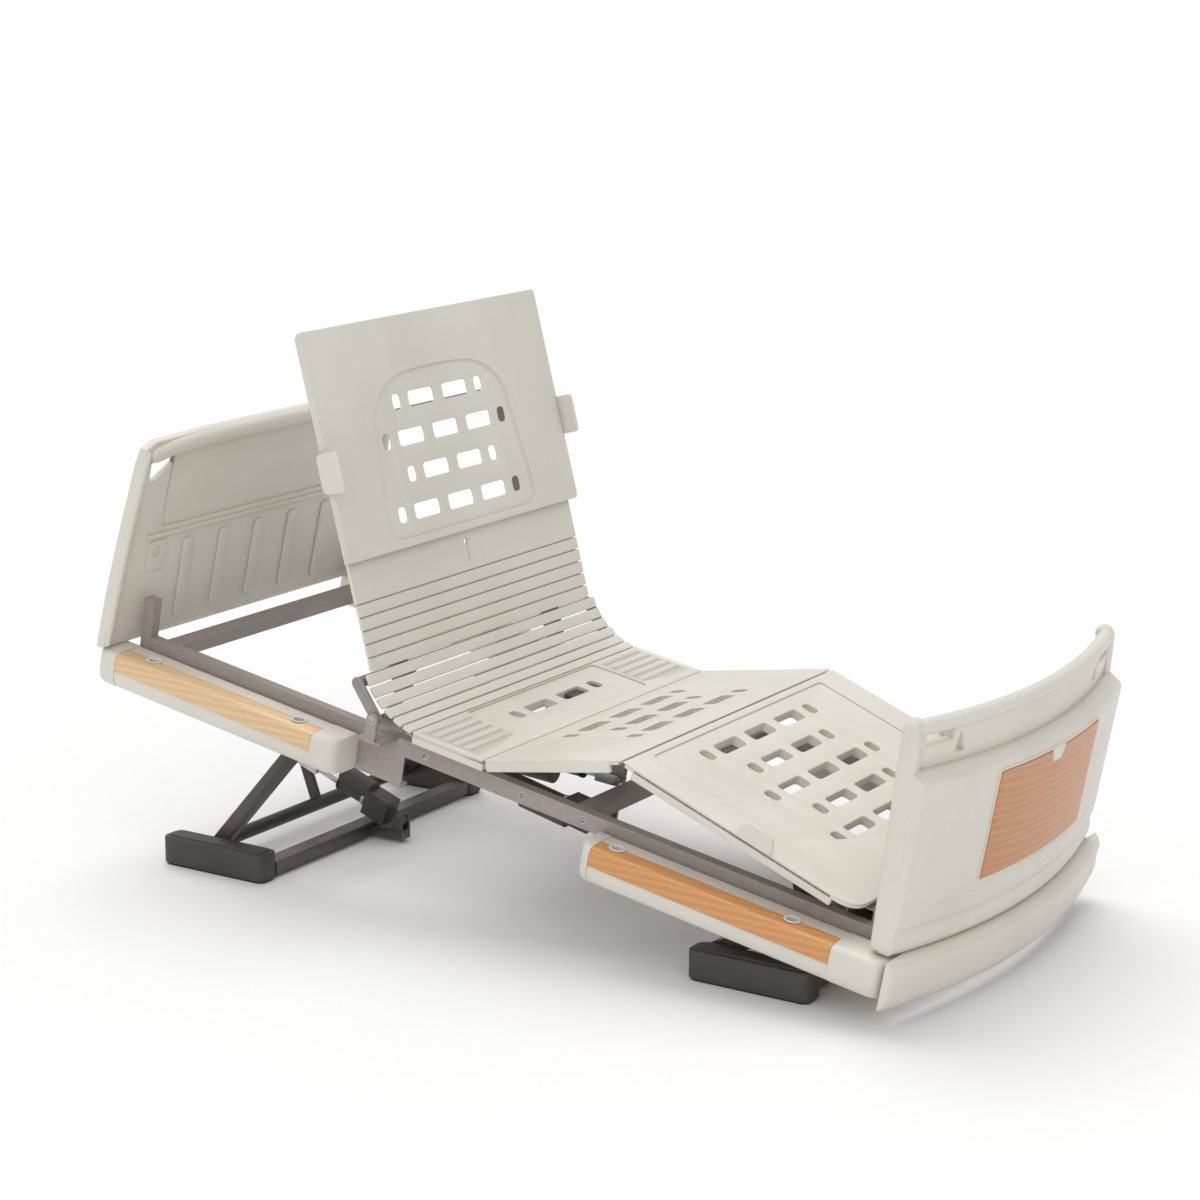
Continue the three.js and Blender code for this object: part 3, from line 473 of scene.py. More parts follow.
def drill(obj, matrix, spots, radius, depth):
    """Cuts round holes along the matrix's Z at (x, y, z) spots, through the given depth."""
    profile = [(0.0, -depth), (radius, -depth), (radius, depth), (0.0, depth)]
    for spot in spots:
        cut_away(obj, turned_part(profile, matrix @ Matrix.Translation(spot), 32))


# ------------------------------------------------------------------ platform


def slot_row(x, long_count):
    """Long slots side by side along Y, with a short one at each end."""
    half = SLOT_HEIGHT / 2
    middles = [(i - (long_count - 1) / 2) * SLOT_PITCH for i in range(long_count)]
    x_span = (x - half, x + half)
    slots = [rectangle(x_span, (y - SLOT_LONG / 2, y + SLOT_LONG / 2), SLOT_RADIUS, 4) for y in middles]
    end = ((long_count - 1) * SLOT_PITCH + SLOT_LONG + SLOT_SHORT) / 2 + SLOT_END_GAP
    for y in (-end, end):
        y_span = (y - SLOT_SHORT / 2, y + SLOT_SHORT / 2)
        slots.append(rectangle(x_span, y_span, SHORT_SLOT_RADIUS, 4))
    return slots


def slot_rows(rows):
    return [slot for x, long_count in rows for slot in slot_row(x, long_count)]


def collars(slots, z):
    """A wall round each slot, which reaches down under the panel."""
    made = []
    for slot in slots:
        xs = [x for x, _ in slot]
        ys = [y for _, y in slot]
        x = (min(xs) - COLLAR_WALL, max(xs) + COLLAR_WALL)
        y = (min(ys) - COLLAR_WALL, max(ys) + COLLAR_WALL)
        made.append(plate(rectangle(x, y, SLOT_RADIUS, 3), z, [slot], 0.0005))
    return made


def strips(x0, x1, y, z):
    """Raised slats side by side along X, which leave the open lines of the moulded sheet."""
    count = round((x1 - x0) / STRIP_PITCH)
    pitch = (x1 - x0) / count
    half_gap = STRIP_GAP / 2
    made = []
    for i in range(count):
        start = x0 + i * pitch
        made.append(block((start + half_gap, start + pitch - half_gap), y, z, 0.003, 0.0012))
    return made


def side_rims(x, half, z):
    """The turned-down edges along both sides of a panel."""
    return [block(x, span, z, 0.004, 0.002) for span in ((half - 0.011, half), (-half, -half + 0.011))]


def under_ribs(x, half, z, spacing):
    """Stiffening ribs under a panel, seen from below and from behind."""
    count = int((x[1] - x[0]) / spacing)
    made = []
    for i in range(1, count):
        middle = x[0] + (x[1] - x[0]) * i / count
        made.append(block((middle - 0.0015, middle + 0.0015), (-half, half), z, 0.001, 0.0006))
    return made


def seat():
    """A scored skin with a hollow in it, and the slotted moulding under the skin."""
    low, high = inside("seat_panel", MAIN)
    half = high.y
    top = high.z
    outline = rectangle((low.x, high.x), (-half, half), 0.004)
    recess = (low.x + 0.004, high.x - 0.028)
    hollow = rectangle(recess, (-SEAT_RECESS_HALF, SEAT_RECESS_HALF), 0.018)
    skin = plate(outline, (top - 0.004, top), [hollow], 0.0015)
    obj = piece("seat_skin", [skin], MAIN, SHELL, "frame", ["seat_panel"])
    lines = [x for x in (low.x + STRIP_PITCH * i for i in range(1, 6)) if x < recess[1]]
    score_lines(obj, MAIN, lines, (SEAT_RECESS_HALF + 0.012, half - 0.02), top)

    rows = slot_rows(SEAT_ROWS)
    meshes = [
        plate(outline, (top - 0.012, top - 0.0038), rows, 0.0016),
        *collars(rows, (top - 0.024, top - 0.010)),
        *side_rims((low.x, high.x), half, (top - 0.026, top - 0.001)),
    ]
    rail_top = inside("frame_rail_left", MAIN)[1].z
    for side in (1, -1):
        y = sorted(side * edge for edge in SEAT_FOOT_Y)
        meshes.append(block(SEAT_FOOT_X, y, (rail_top + 0.0005, top - 0.011), 0.004))
    piece("seat_moulding", meshes, MAIN, SHELL, "frame", ())


def score_lines(obj, matrix, xs, y, top):
    """Cuts thin grooves across both sides of a panel, one for each x."""
    for x in xs:
        for side in (1, -1):
            span = sorted((side * y[0], side * y[1]))
            groove = block((x - 0.0012, x + 0.0012), span, (top - 0.003, top + 0.003), 0.001, 0.0003)
            groove.transform(matrix)
            cut_away(obj, groove)


def slats():
    for i in range(1, SLAT_COUNT + 1):
        name = f"slat_{i}"
        matrix = turned(TILT + i * BEND)
        low, high = inside(name, matrix)
        slat = block((low.x, high.x), (low.y, high.y), (low.z, high.z), 0.005, 0.0018)
        middle = (low.x + high.x) / 2
        below = (low.z - 0.0015, low.z + 0.002)
        lugs = [block((middle - 0.007, middle + 0.007), (y - 0.02, y + 0.02), below) for y in LUG_PLACES]
        piece(f"{name}_moulding", [slat, *lugs], matrix, SHELL, name, [name])


def lower_sheet():
    """The smooth part under the back panel, and the strips that follow the slats."""
    matrix = turned(TILT + (SLAT_COUNT + 1) * BEND)
    low, high = inside("lower_back_sheet", matrix)
    half = high.y
    ribbed_from = high.x - 0.143
    key = high.x - 0.194
    keyhole = round_corners([
        (key - 0.006, -0.006), (key - 0.006, 0.006), (key - 0.019, 0.008), (key - 0.019, -0.008),
    ], 0.006)
    slit = rectangle((key - 0.002, key + 0.034), (-0.0012, 0.0012))
    smooth = rectangle((low.x, ribbed_from - 0.001), (-half, half), 0.003)
    sheet = plate(smooth, (low.z, high.z), [keyhole, slit], 0.0011)
    backing = block((ribbed_from - 0.004, high.x), (-half + 0.006, half - 0.006), (low.z, low.z + 0.003))
    ribbed = strips(ribbed_from, high.x, (-half, half), (low.z + 0.002, high.z))
    piece("lower_back_moulding", [sheet, backing, *ribbed], matrix, SHELL, "lower_back_sheet",
          ["lower_back_sheet"])


def arched_recess():
    """Outline of the hollow in the back panel: straight at the bottom, arched at the top."""
    bottom, shoulder, crown = -0.345, -0.640, -0.700
    half_bottom, half_shoulder = 0.283, 0.243
    corners = [
        (bottom, -half_bottom), (bottom, half_bottom),
        (shoulder, half_shoulder), (crown + 0.006, 0.150),
        (crown, 0.0), (crown + 0.006, -0.150), (shoulder, -half_shoulder),
    ]
    return round_corners(corners, 0.05, 8)


def back_panel():
    low, high = inside("back_panel", BACK)
    outline = rectangle((low.x, high.x), (low.y, high.y), 0.012)
    rows = slot_rows(BACK_ROWS)
    step = 0.0045
    hollow = arched_recess()
    rounded = [(x * 0.985 - 0.0078, y * 0.975) for x, y in hollow]
    meshes = [
        plate(outline, (high.z - step, high.z), [hollow], 0.0022),
        plate(outline, (low.z, high.z - step + 0.0004), rows, 0.0018),
        plate(hollow, (high.z - step - 0.0008, high.z - 0.0022), [rounded], 0.001),
    ]
    for y in (low.y + 0.006, high.y - 0.006):
        meshes.append(block((low.x + 0.01, high.x), (y - 0.003, y + 0.003), (low.z - 0.006, low.z + 0.002)))
    piece("back_panel_moulding", meshes, BACK, SHELL, "back_panel", ["back_panel"])


def retainer_tabs():
    for side in ("left", "right"):
        name = f"back_retainer_tab_{side}"
        low, high = inside(name, BACK)
        corners = [(low.x, low.z), (high.x, low.z), (high.x, high.z - 0.004), (high.x - 0.006, high.z),
                   (low.x + 0.006, high.z), (low.x, high.z - 0.004)]
        tab = plate(round_corners(corners, 0.017, 7), (-high.y, -low.y), (), 0.003, SIDEWAYS)
        piece(f"{name}_moulding", [tab], BACK, SHELL, "back_panel", [name])


def thigh():
    low, high = inside("thigh_panel", THIGH)
    rows = slot_rows(THIGH_ROWS)
    half = high.y
    skin = 0.004
    outline = rectangle((low.x, high.x - 0.001), (-half, half), 0.004)
    under = rectangle((low.x + 0.001, high.x - 0.008), (-half + 0.001, half - 0.001), 0.004)
    meshes = [
        plate(outline, (high.z - skin, high.z), rows, 0.0018),
        plate(under, (high.z - 0.010, high.z - skin + 0.0004), rows, 0.0016),
        *collars(rows, (high.z - 0.022, high.z - 0.008)),
        *side_rims((0.002, high.x - 0.03), half, (low.z, high.z - 0.001)),
        *under_ribs((0.01, high.x - 0.03), half - 0.012, (high.z - 0.020, high.z - 0.008), 0.08),
    ]
    piece("thigh_moulding", meshes, THIGH, SHELL, "thigh", ["thigh_panel"])


def calf():
    low, high = inside("calf_panel", CALF)
    half = high.y
    corner = 0.055
    # rounded well behind the hinge line and cut off there, so that only the foot corners stay round
    corners = [(low.x - 0.1, -half), (high.x, -half), (high.x, half), (low.x - 0.1, half)]
    rounded = round_corners(corners, corner, 10)
    outline = [(max(x, low.x + 0.003), y) for x, y in rounded]
    under = [(max(x, low.x + 0.010), y) for x, y in rounded]
    rows = slot_rows(CALF_ROWS)
    skin = 0.0032
    # the hollow in the skin, whose foot end is an arc
    hollow_half = 0.352
    crown = 0.460
    rise = 0.115
    across = [hollow_half * k / 14 for k in range(-14, 15)]
    arc = [(crown - rise * (y / hollow_half) ** 2, y) for y in across]
    hollow = round_corners([(0.022, -hollow_half), *arc, (0.022, hollow_half)], 0.012, 3)
    meshes = [
        plate(outline, (high.z - skin, high.z), [hollow], 0.0014),
        plate(under, (high.z - 0.011, high.z - skin + 0.0004), rows, 0.0018),
        *collars(rows, (high.z - 0.024, high.z - 0.009)),
        *side_rims((0.03, high.x - corner), half, (low.z, high.z - 0.001)),
        *under_ribs((0.02, high.x - corner), half - 0.012, (high.z - 0.020, high.z - 0.009), 0.082),
    ]
    for side in (1, -1):
        tab = [(0.285, -0.002), (0.372, -0.002), (0.366, 0.030), (0.351, 0.038), (0.306, 0.038),
               (0.291, 0.030)]
        y = sorted((-side * (half - 0.001), -side * (half + 0.007)))
        meshes.append(plate(round_corners(tab, 0.012, 5), y, (), 0.0028, SIDEWAYS))
    piece("calf_moulding", meshes, CALF, SHELL, "calf", ["calf_panel"])


# ------------------------------------------------------------------ corner covers


def cover_section(x, y, z, inset, shrink):
    """Ring of a cover's cross-section, from the inner bottom corner round over the top.

    inset sinks the top and the outer face, and shrink pulls the outer face in for the rounded ends.
    """
    outer = y[1] - shrink - inset
    top = z[1] - inset
    corners = [
        (y[0], z[0] + 0.002), (outer - 0.012, z[0]), (outer - 0.002, z[0] + 0.016),
        (outer, z[1] - 0.030), (outer - 0.003, top - 0.004), (outer - 0.030, top), (y[0], top),
    ]
    return [(x, a, b) for a, b in round_corners(corners, 0.012, 5)]


def end_pull(x, span):
    """How far the outer face is drawn in at x, for the round corners in plan."""
    into = min(x - span[0], span[1] - x)
    if into >= PLAN_RADIUS:
        return 0.0
    return PLAN_RADIUS - math.sqrt(max(PLAN_RADIUS ** 2 - (PLAN_RADIUS - into) ** 2, 0.0))


def cover(end, side, sockets, look):
    mirror = Matrix.Diagonal((1, 1 if side == "left" else -1, 1, 1))
    left = f"{end}_corner_cover_left"
    low, high = inside(left, MAIN)
    wood_low, wood_high = inside(f"{end}_wood_inlay_left", MAIN)
    x, y, z = (low.x, high.x), (low.y, high.y), (low.z, high.z)
    skin = 0.0016
    line = 0.0008
    stations = [x[0] + PLAN_RADIUS * t for t in (0.0, 0.08, 0.2, 0.4, 0.7, 1.0)]
    stations += [x[1] - PLAN_RADIUS * t for t in (1.0, 0.7, 0.4, 0.2, 0.08, 0.0)]
    plain = [(s, 0.0) for s in stations]
    steps = [(wood_low.x - line, 0.0), (wood_low.x - line + 0.0001, skin),
             (wood_high.x + line - 0.0001, skin), (wood_high.x + line, 0.0)]
    path = sorted(plain + steps)
    # the stretch under the wood lies deeper than the stations that fall inside it
    path = [(s, skin if wood_low.x - line < s < wood_high.x + line else d) for s, d in path]
    rings = [cover_section(s, y, z, d, end_pull(s, x)) for s, d in path]
    body = piece(f"{end}_cover_{side}", [loft(rings)], MAIN @ mirror, SHELL, "frame",
                 [f"{end}_corner_cover_{side}"], 50)

    # the wood wraps the top and the outer face, and stops short of the cover's lower edge
    wood_path = [s for s in stations if wood_low.x < s < wood_high.x]
    wood_path = sorted([wood_low.x, wood_high.x, *wood_path])
    wood_rings = []
    for s in wood_path:
        outside = cover_section(s, y, z, 0.0, end_pull(s, x))
        inner = cover_section(s, y, z, skin - 0.0001, end_pull(s, x))
        keep = [i for i, (_, a, b) in enumerate(outside) if b > wood_low.z and a > wood_low.y]
        wood_rings.append([outside[i] for i in keep] + [inner[i] for i in reversed(keep)])
    panel = piece(f"{end}_wood_{side}", [loft(wood_rings)], MAIN @ mirror, look, "frame",
                  [f"{end}_wood_inlay_{side}"], 50)

    spots = [(sx, SOCKET_Y, (z[0] + z[1]) / 2) for sx in sockets]
    for obj in (body, panel):
        drill(obj, MAIN @ mirror, spots, SOCKET_RADIUS, 0.06)
    for k, (sx, sy, _) in enumerate(spots):
        profile = [(0.0118, -0.050), (0.0134, -0.050), (0.0134, 0.0), (0.0172, 0.0003), (0.0178, 0.0012),
                   (0.0165, 0.0022), (0.0128, 0.0020), (0.0118, 0.0008), (0.0118, -0.050)]
        ring = turned_part(profile, Matrix.Translation((sx, sy, z[1])), 40)
        piece(f"{end}_bush_{side}_{k}", [ring], MAIN @ mirror, BUSH, "frame", ())


# ------------------------------------------------------------------ end boards


def headboard_outline(top, inset, floor):
    """Front view, drawn in by inset: sides that lean in, round shoulders and a crowned top."""
    steps = 9
    left = []
    for k in range(steps):
        t = k / (steps - 1)
        lean_in = (HEAD_HALF_LOW - HEAD_HALF_HIGH - 0.004) * t ** 1.6
        left.append((HEAD_HALF_LOW - lean_in - inset, floor + (top - 0.055 - floor) * t))
    half = HEAD_HALF_HIGH
    shoulder = [(half - 0.006 - inset, top - 0.022 - inset * 0.4),
                (half - 0.036 - inset, top - 0.006 - inset)]
    crown = [(half * 0.55, top - 0.001 - inset), (0.0, top - inset)]
    points = left + shoulder + crown
    return points + [(-a, b) for a, b in reversed(points[:-1])]


def headboard():
    low, high = inside("headboard", MAIN)
    lean = math.atan2(HEAD_SETBACK, high.z - low.z)
    matrix = MAIN @ Matrix.Translation((low.x, 0, low.z)) @ turned(lean)
    top = inside("headboard", matrix)[1].z
    thick = HEAD_THICK * math.cos(lean)
    half = HEAD_HALF_HIGH
    sheet_x = (0.008, 0.016)
    face = sheet_x[1] - 0.001

    # hand holes, straight on the outside and slanting below, and the recess between the side strips
    hand = [(0.030, 0.024), (0.030, -0.028), (0.014, -0.028), (-0.042, 0.006), (-0.042, 0.024)]
    middle = (half - 0.062, top - 0.070)
    holes = []
    for side in (1, -1):
        placed = [(side * (middle[0] + a), middle[1] + b) for a, b in hand]
        holes.append(round_corners(placed, 0.006, 4))
    wide, narrow = HEAD_FIELD_HALF
    field_top = top - 0.030
    field = [(-wide, HEAD_FIELD_FLOOR), (wide, HEAD_FIELD_FLOOR), (narrow, field_top), (-narrow, field_top)]
    field = round_corners(field, 0.014, 4)
    meshes = [
        plate(headboard_outline(top, 0.010, 0.004), sheet_x, holes, 0.002, UPRIGHT),
        plate(headboard_outline(top, 0.0, 0.0005), (0.001, 0.024), [headboard_outline(top, 0.026, 0.012)],
              0.005, UPRIGHT),
        plate(headboard_outline(top, 0.018, 0.006), (face, face + 0.006), [*holes, field], 0.0022, UPRIGHT),
    ]

    # round rail over the top, and slimmer ones down both sides
    rail = []
    for k in range(-20, 21):
        t = k / 20
        rail.append((thick / 2, (half - 0.019) * t, top - 0.020 - 0.018 * abs(t) ** 6 - 0.003 * t * t))
    meshes.append(sweep(rail, HEAD_RAIL_RADIUS))
    outline = headboard_outline(top, 0.0115, 0.006)
    for side in (1, -1):
        edge = [(0.022, side * a, b) for a, b in outline[:10]]
        meshes.append(sweep(edge, HEAD_EDGE_RADIUS))

    # ribs on the lower half, a ledge over them, and a screw hole at each side
    ribs_from = face + 0.005
    for k in range(-2, 3):
        y = HEAD_RIB_PITCH * k
        rib = rectangle((y - HEAD_RIB_HALF, y + HEAD_RIB_HALF), HEAD_RIB_Z, HEAD_RIB_HALF, 7)
        meshes.append(plate(rib, (ribs_from, ribs_from + 0.007), (), 0.003, UPRIGHT))
    ledge = rectangle((-HEAD_LEDGE_HALF, HEAD_LEDGE_HALF), HEAD_LEDGE_Z, 0.004)
    meshes.append(plate(ledge, (ribs_from, ribs_from + 0.006), (), 0.0025, UPRIGHT))
    for side in (1, -1):
        pad = rectangle(sorted(side * edge for edge in SCREW_PAD_Y), SCREW_PAD_Z, 0.014)
        screw_hole = circle(side * 0.355, 0.205, 0.012)
        meshes.append(plate(pad, (ribs_from, ribs_from + 0.004), [screw_hole], 0.0018, UPRIGHT))
    piece("headboard_moulding", meshes, matrix, SHELL, "headboard", ["headboard"])


def foot_bow(mesh, face="outer"):
    """Bends a flat upright mesh, whose outer face is at x = 0, round the footboard's plan curve."""
    half = FOOT["half"]
    cuts = 30
    bm = bmesh.new()
    bm.from_mesh(mesh)
    for k in range(1, cuts):
        y = -half + 2 * half * k / cuts
        geometry = bm.verts[:] + bm.edges[:] + bm.faces[:]
        bmesh.ops.bisect_plane(bm, geom=geometry, plane_co=(0, y, 0), plane_no=(0, 1, 0))
    for v in bm.verts:
        v.co.x += FOOT[face] + FOOT["bow"] * (1 - (v.co.y / half) ** 2)
    bm.to_mesh(mesh)
    bm.free()
    return mesh


def bowed_body(profile, half):
    """A closed profile of (depth, height) pairs, lofted from end to end along the footboard's bow."""
    rings = []
    for k in range(-24, 25):
        y = half * k / 24
        x0 = FOOT["outer"] + FOOT["bow"] * (1 - (y / half) ** 2)
        rings.append([(x0 + a, y, b) for a, b in profile])
    return loft(rings)


def footboard():
    half = FOOT["half"]
    bottom, ledge = FOOT["bottom"], FOOT["ledge"]
    top = inside("footboard", MAIN)[1].z
    back = FOOT["rail_outer"] - FOOT["outer"]

    # the bowed face with its rolled lower ridges, and the sloping ledge over it
    face = [
        (-0.032, bottom + 0.001), (-0.006, bottom + 0.001), (-0.001, bottom + 0.012),
        (-0.0015, bottom + 0.030), (-0.006, bottom + 0.046), (-0.001, bottom + 0.058),
        (0.0, bottom + 0.080), (0.0, ledge - 0.028),
        (-0.003, ledge - 0.018), (back + 0.004, ledge - 0.002), (back - 0.030, ledge - 0.002),
        (back - 0.030, ledge - 0.022), (-0.032, ledge - 0.030),
    ]
    face = round_corners(face, 0.005, 3)
    meshes = [bowed_body(face, half - 0.001)]

    # the sheet above the ledge, with the hand holes and the wedge-shaped ones beside them
    holes = []
    for side in (1, -1):
        slot = [(side * (half - 0.122), 0.603), (side * (half - 0.040), 0.600),
                (side * (half - 0.038), 0.626), (side * (half - 0.122), 0.626)]
        holes.append(round_corners(slot, 0.008, 4))
        wedge = [(side * 0.296, 0.572), (side * 0.318, 0.616), (side * 0.330, 0.573)]
        holes.append(round_corners(wedge, 0.005, 3))
    sheet = rectangle((-half + 0.004, half - 0.004), (ledge - 0.012, top - 0.012), 0.004)
    meshes.append(foot_bow(plate(sheet, (-0.026, -0.006), holes, 0.003, UPRIGHT), "rail_outer"))

    # the round rail, which swells into a knob at each end
    rail = []
    for k in range(-24, 25):
        y = (half - 0.017) * k / 24
        rail.append((-0.0165, y, top - 0.0185 - 0.0015 * math.cos(y / half * math.pi / 2)))
    meshes.append(foot_bow(sweep(rail, 0.0162), "rail_outer"))
    for side in (1, -1):
        middle = (FOOT["rail_inner"] + 0.018, side * (half - 0.019), top - 0.0185)
        profile = [(0.0, -0.0182), (0.010, -0.0165), (0.0165, -0.010), (0.0182, 0.0), (0.0165, 0.010),
                   (0.010, 0.0165), (0.0, 0.0182)]
        meshes.append(turned_part(profile, Matrix.Translation(middle) @ Matrix.Rotation(math.pi / 2, 4, "X")))

    # posts at both sides, leaning in towards the mattress
    for side in (1, -1):
        corners = [(FOOT["inner"], bottom + 0.001), (FOOT["outer"], bottom + 0.001),
                   (FOOT["rail_outer"] + 0.006, top - 0.080), (FOOT["rail_outer"] - 0.001, top - 0.010),
                   (FOOT["rail_inner"] + 0.002, top - 0.010), (FOOT["rail_inner"] + 0.004, top - 0.080)]
        y = sorted((-side * (half - 0.028), -side * half))
        meshes.append(plate(round_corners(corners, 0.012, 6), y, (), 0.006, SIDEWAYS))

    # crowned line under the wood panel
    ridge = []
    ridge_half = 0.385
    for k in range(-14, 15):
        y = ridge_half * k / 14
        ridge.append((-0.0042, y, 0.290 - 0.010 * (y / ridge_half) ** 2))
    meshes.append(foot_bow(sweep(ridge, 0.0055)))

    # frame round the wood panel, and the finger tab at its top
    wood_low, wood_high = inside("footboard_wood_panel", MAIN)
    z = (wood_low.z, wood_high.z)
    rim = rectangle((-0.233, 0.233), (z[0] - 0.003, z[1] + 0.002), 0.006)
    window = rectangle((-0.2295, 0.2295), (z[0] + 0.0005, z[1] - 0.0015), 0.004)
    meshes.append(foot_bow(plate(rim, (-0.004, 0.0030), [window], 0.0012, UPRIGHT)))
    tab = [(-0.030, z[1] + 0.001), (0.030, z[1] + 0.001), (0.020, z[1] - 0.028), (-0.020, z[1] - 0.028)]
    meshes.append(foot_bow(plate(round_corners(tab, 0.006, 4), (0.0, 0.0051), (), 0.0008, UPRIGHT)))
    piece("footboard_moulding", meshes, MAIN, SHELL, "footboard", ["footboard"])

    board = rectangle((-0.2290, 0.2290), (z[0] + 0.001, z[1] - 0.002), 0.004)
    panel = foot_bow(plate(board, (0.0003, 0.0046), (), 0.0009, UPRIGHT))
    piece("footboard_wood", [panel], MAIN, PANEL_WOOD, "footboard", ["footboard_wood_panel"])
    footboard_skirt()


def footboard_skirt():
    """The lower bumper: its section bulges and turns under, and it is lofted along the bow."""
    profile = [(-0.045, 0.1865), (-0.022, 0.1865), (-0.006, 0.180), (0.0, 0.166), (-0.002, 0.140),
               (0.0, 0.116), (-0.006, 0.096), (-0.016, 0.084), (-0.045, 0.083)]
    half = SKIRT["half"]
    rings = []
    for k in range(-32, 33):
        t = k / 32
        y = half * math.sin(t * math.pi / 2)
        tuck = max(0.0, (abs(t) - 0.9) / 0.1) ** 2 * 0.010
        x0 = SKIRT["outer"] + SKIRT["bow"] * (1 - (y / half) ** 2)
        rings.append([(max(x0 + a - tuck, 1.8535), y, b) for a, b in profile])
    piece("footboard_bumper", [loft(rings)], MAIN, SHELL, "footboard", (), 55)


# ------------------------------------------------------------------ lifting gear and small metal parts


def floor_pad(end, side):
    name = f"{end}_floor_pad_{side}"
    low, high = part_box(name)
    outline = rectangle((low.x, high.x), (low.y, high.y), 0.020, 8)
    inner = rectangle((low.x + 0.012, high.x - 0.012), (low.y + 0.008, high.y - 0.008), 0.014, 8)
    meshes = [
        plate(outline, (0.004, high.z - 0.004), (), 0.004),
        plate(inner, (high.z - 0.006, high.z), (), 0.003),
    ]
    piece(f"{name}_moulding", meshes, LEVEL, PAD, "root", [name])
    sole_outline = rectangle((low.x + 0.004, high.x - 0.004), (low.y + 0.004, high.y - 0.004), 0.018, 8)
    sole = plate(sole_outline, (0.0, 0.0055), (), 0.001)
    piece(f"{end}_sole_{side}", [sole], LEVEL, RUBBER, "root", ())


def bolt(name, matrix, spot, body, radius=0.0065):
    """A domed hexagon socket screw whose axis is the matrix's Y."""
    profile = [(0.0022, 0.0009), (0.0028, 0.0030), (radius * 0.55, 0.0042), (radius * 0.85, 0.0030),
               (radius, 0.0008), (radius, -0.001)]
    head = turned_part([(0.0, 0.0008), *profile], along_y(*spot), 24)
    washer = turned_part([(radius * 1.05, -0.0012), (radius * 1.5, -0.0012), (radius * 1.5, 0.0002),
                          (radius * 1.05, 0.0004), (radius * 1.05, -0.0012)], along_y(*spot), 24)
    piece(name, [head, washer], matrix, STEEL, body, ())


def hardware():
    """Screws on the brackets, and end caps in the rails."""
    for side, sign in (("left", 1), ("right", -1)):
        flip = Matrix.Diagonal((1, sign, 1, 1))
        bracket_face = inside("back_hinge_bracket_left", MAIN)[1].y
        bolt(f"hinge_bolt_{side}", MAIN @ flip, (BACK_PIVOT.x, bracket_face, BACK_PIVOT.z), "frame")
        rail_high = inside("frame_rail_left", MAIN)[1]
        for k, x in enumerate(RAIL_BOLTS_X):
            bolt(f"rail_bolt_{side}_{k}", MAIN @ flip, (x, rail_high.y, RAIL_BOLT_Z), "frame", 0.0055)
        opening = rectangle((rail_high.y - 0.022, rail_high.y - 0.003), RAIL_CAP_Z, 0.003)
        cap = plate(opening, (rail_high.x - 0.004, rail_high.x + 0.0035), (), 0.0015, UPRIGHT)
        piece(f"rail_cap_{side}", [cap], MAIN @ flip, PAD, "frame", ())


def actuator_trim():
    """A clamp band behind the gear case of each actuator, and the seal that its rod slides through."""
    for name in ("back_actuator", "knee_actuator", "head_lift_actuator", "foot_lift_actuator"):
        axis = Vector(JOINTS[f"{name}_stroke"]["axis"])
        start = Vector(JOINTS[f"{name}_swing"]["pos_m"])
        housing = f"{name}_housing"
        low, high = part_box(housing)
        start.y = (low.y + high.y) / 2
        length = max((v.co - start).dot(axis) for v in frame["nodes"][housing].data.vertices)
        turn = axis.to_track_quat("Z", "Y").to_matrix().to_4x4()
        band = [(0.0172, -0.005), (0.0192, -0.004), (0.0192, 0.004), (0.0172, 0.005), (0.0172, -0.005)]
        seal = [(0.0098, -0.006), (0.0182, -0.006), (0.0182, 0.0006), (0.0160, 0.0022), (0.0098, 0.0022),
                (0.0098, -0.006)]
        for part, profile, reach, look, slot in (
            ("band", band, CLAMP_BAND_PLACE, STEEL, "bright_steel"),
            ("seal", seal, length, RUBBER, "dark_plastic"),
        ):
            ring = turned_part(profile, Matrix.Translation(start + axis * reach) @ turn, 28)
            piece(f"{name}_{part}", [ring], LEVEL, look, housing, ())


CAD_LOOKS = {
    "frame_grey": FRAME_PAINT,
    "dark_steel": ARM_PAINT,
    "dark_plastic": PAD,
    "bright_steel": STEEL,
    "shell": SHELL,
    "head_wood": HEAD_WOOD,
    "foot_wood": FOOT_WOOD,
}


def dress_cad_nodes():
    for part in frame["record"]["subparts"]:
        mesh = frame["nodes"][part["node"]].data
        mesh.materials.clear()
        mesh.materials.append(CAD_LOOKS[part["material_slot"]])


# ------------------------------------------------------------------ studio


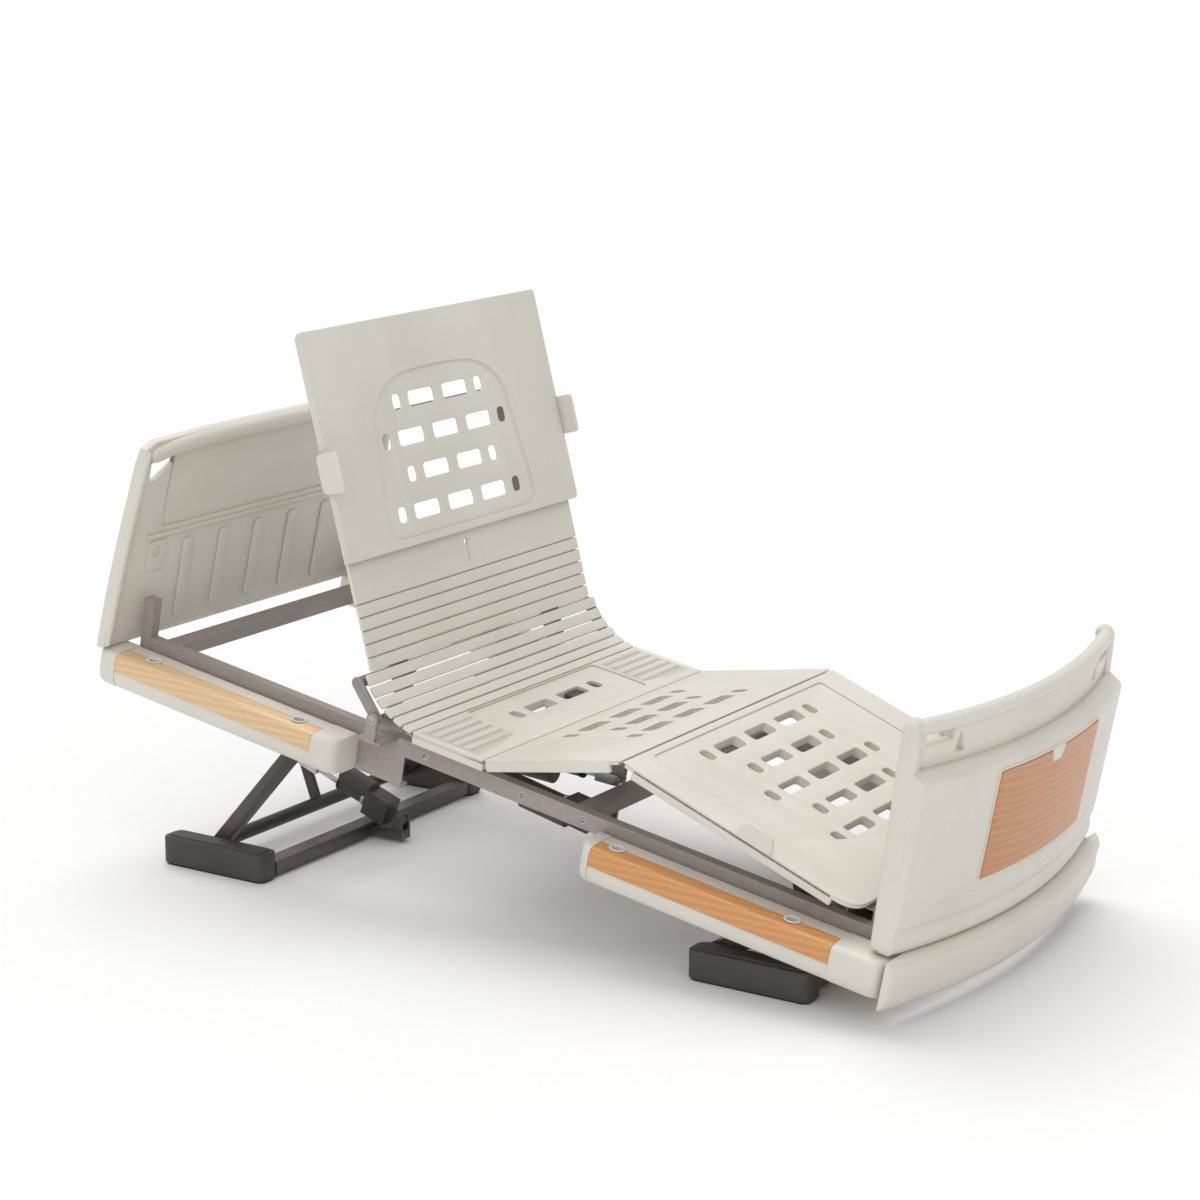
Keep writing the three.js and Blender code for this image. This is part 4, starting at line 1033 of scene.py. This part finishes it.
def studio():
    floor_material, tree, shader, vector = new_material("studio_floor")
    speck = noise(tree, vector, 30.0, 3.0)
    tree.links.new(mixed(tree, speck, (0.87, 0.87, 0.87), (0.89, 0.89, 0.89)), shader.inputs["Base Color"])
    shader.inputs["Roughness"].default_value = 0.8
    shader.inputs["Specular IOR Level"].default_value = 0.1
    floor_mesh = bpy.data.meshes.new("studio_floor")
    span = (-FLOOR_REACH, FLOOR_REACH)
    corners = [(x, y, 0) for x, y in rectangle(span, span)]
    floor_mesh.from_pydata(corners, [], [(0, 1, 2, 3)])
    floor_mesh.materials.append(floor_material)
    floor = bpy.data.objects.new("studio_floor", floor_mesh)
    bpy.context.scene.collection.objects.link(floor)

    world = bpy.data.worlds.new("studio")
    world.use_nodes = True
    world.node_tree.nodes["Background"].inputs["Color"].default_value = (1, 1, 1, 1)
    world.node_tree.nodes["Background"].inputs["Strength"].default_value = WORLD_STRENGTH
    bpy.context.scene.world = world
    for name, toward, strength, width in LAMPS:
        data = bpy.data.lights.new(name, "SUN")
        data.energy = strength
        data.angle = math.radians(width)
        lamp = bpy.data.objects.new(name, data)
        lamp.rotation_euler = Vector(toward).to_track_quat("Z", "Y").to_euler()
        bpy.context.scene.collection.objects.link(lamp)
    bpy.context.scene.view_settings.view_transform = "Standard"


def camera():
    azimuth = math.radians(CAMERA_AZIMUTH)
    elevation = math.radians(CAMERA_ELEVATION)
    roll = math.radians(CAMERA_ROLL)
    data = bpy.data.cameras.new("camera")
    data.lens = CAMERA_LENS
    data.sensor_width = 36.0
    cam = bpy.data.objects.new("camera", data)
    upright = Matrix.Rotation(azimuth, 4, "Z") @ Matrix.Rotation(math.pi / 2 - elevation, 4, "X")
    cam.matrix_world = Matrix.Translation(CAMERA_PLACE) @ upright @ Matrix.Rotation(roll, 4, "Z")
    bpy.context.scene.collection.objects.link(cam)
    bpy.context.scene.camera = cam


camera()
studio()
dress_cad_nodes()
seat()
slats()
lower_sheet()
back_panel()
retainer_tabs()
thigh()
calf()
for end_name, wood_look in (("head", HEAD_WOOD), ("foot", FOOT_WOOD)):
    for side_name in ("left", "right"):
        cover(end_name, side_name, SOCKET_PLACES[end_name], wood_look)
headboard()
footboard()
for end_name in ("head", "foot"):
    for side_name in ("left", "right"):
        floor_pad(end_name, side_name)
hardware()
actuator_trim()
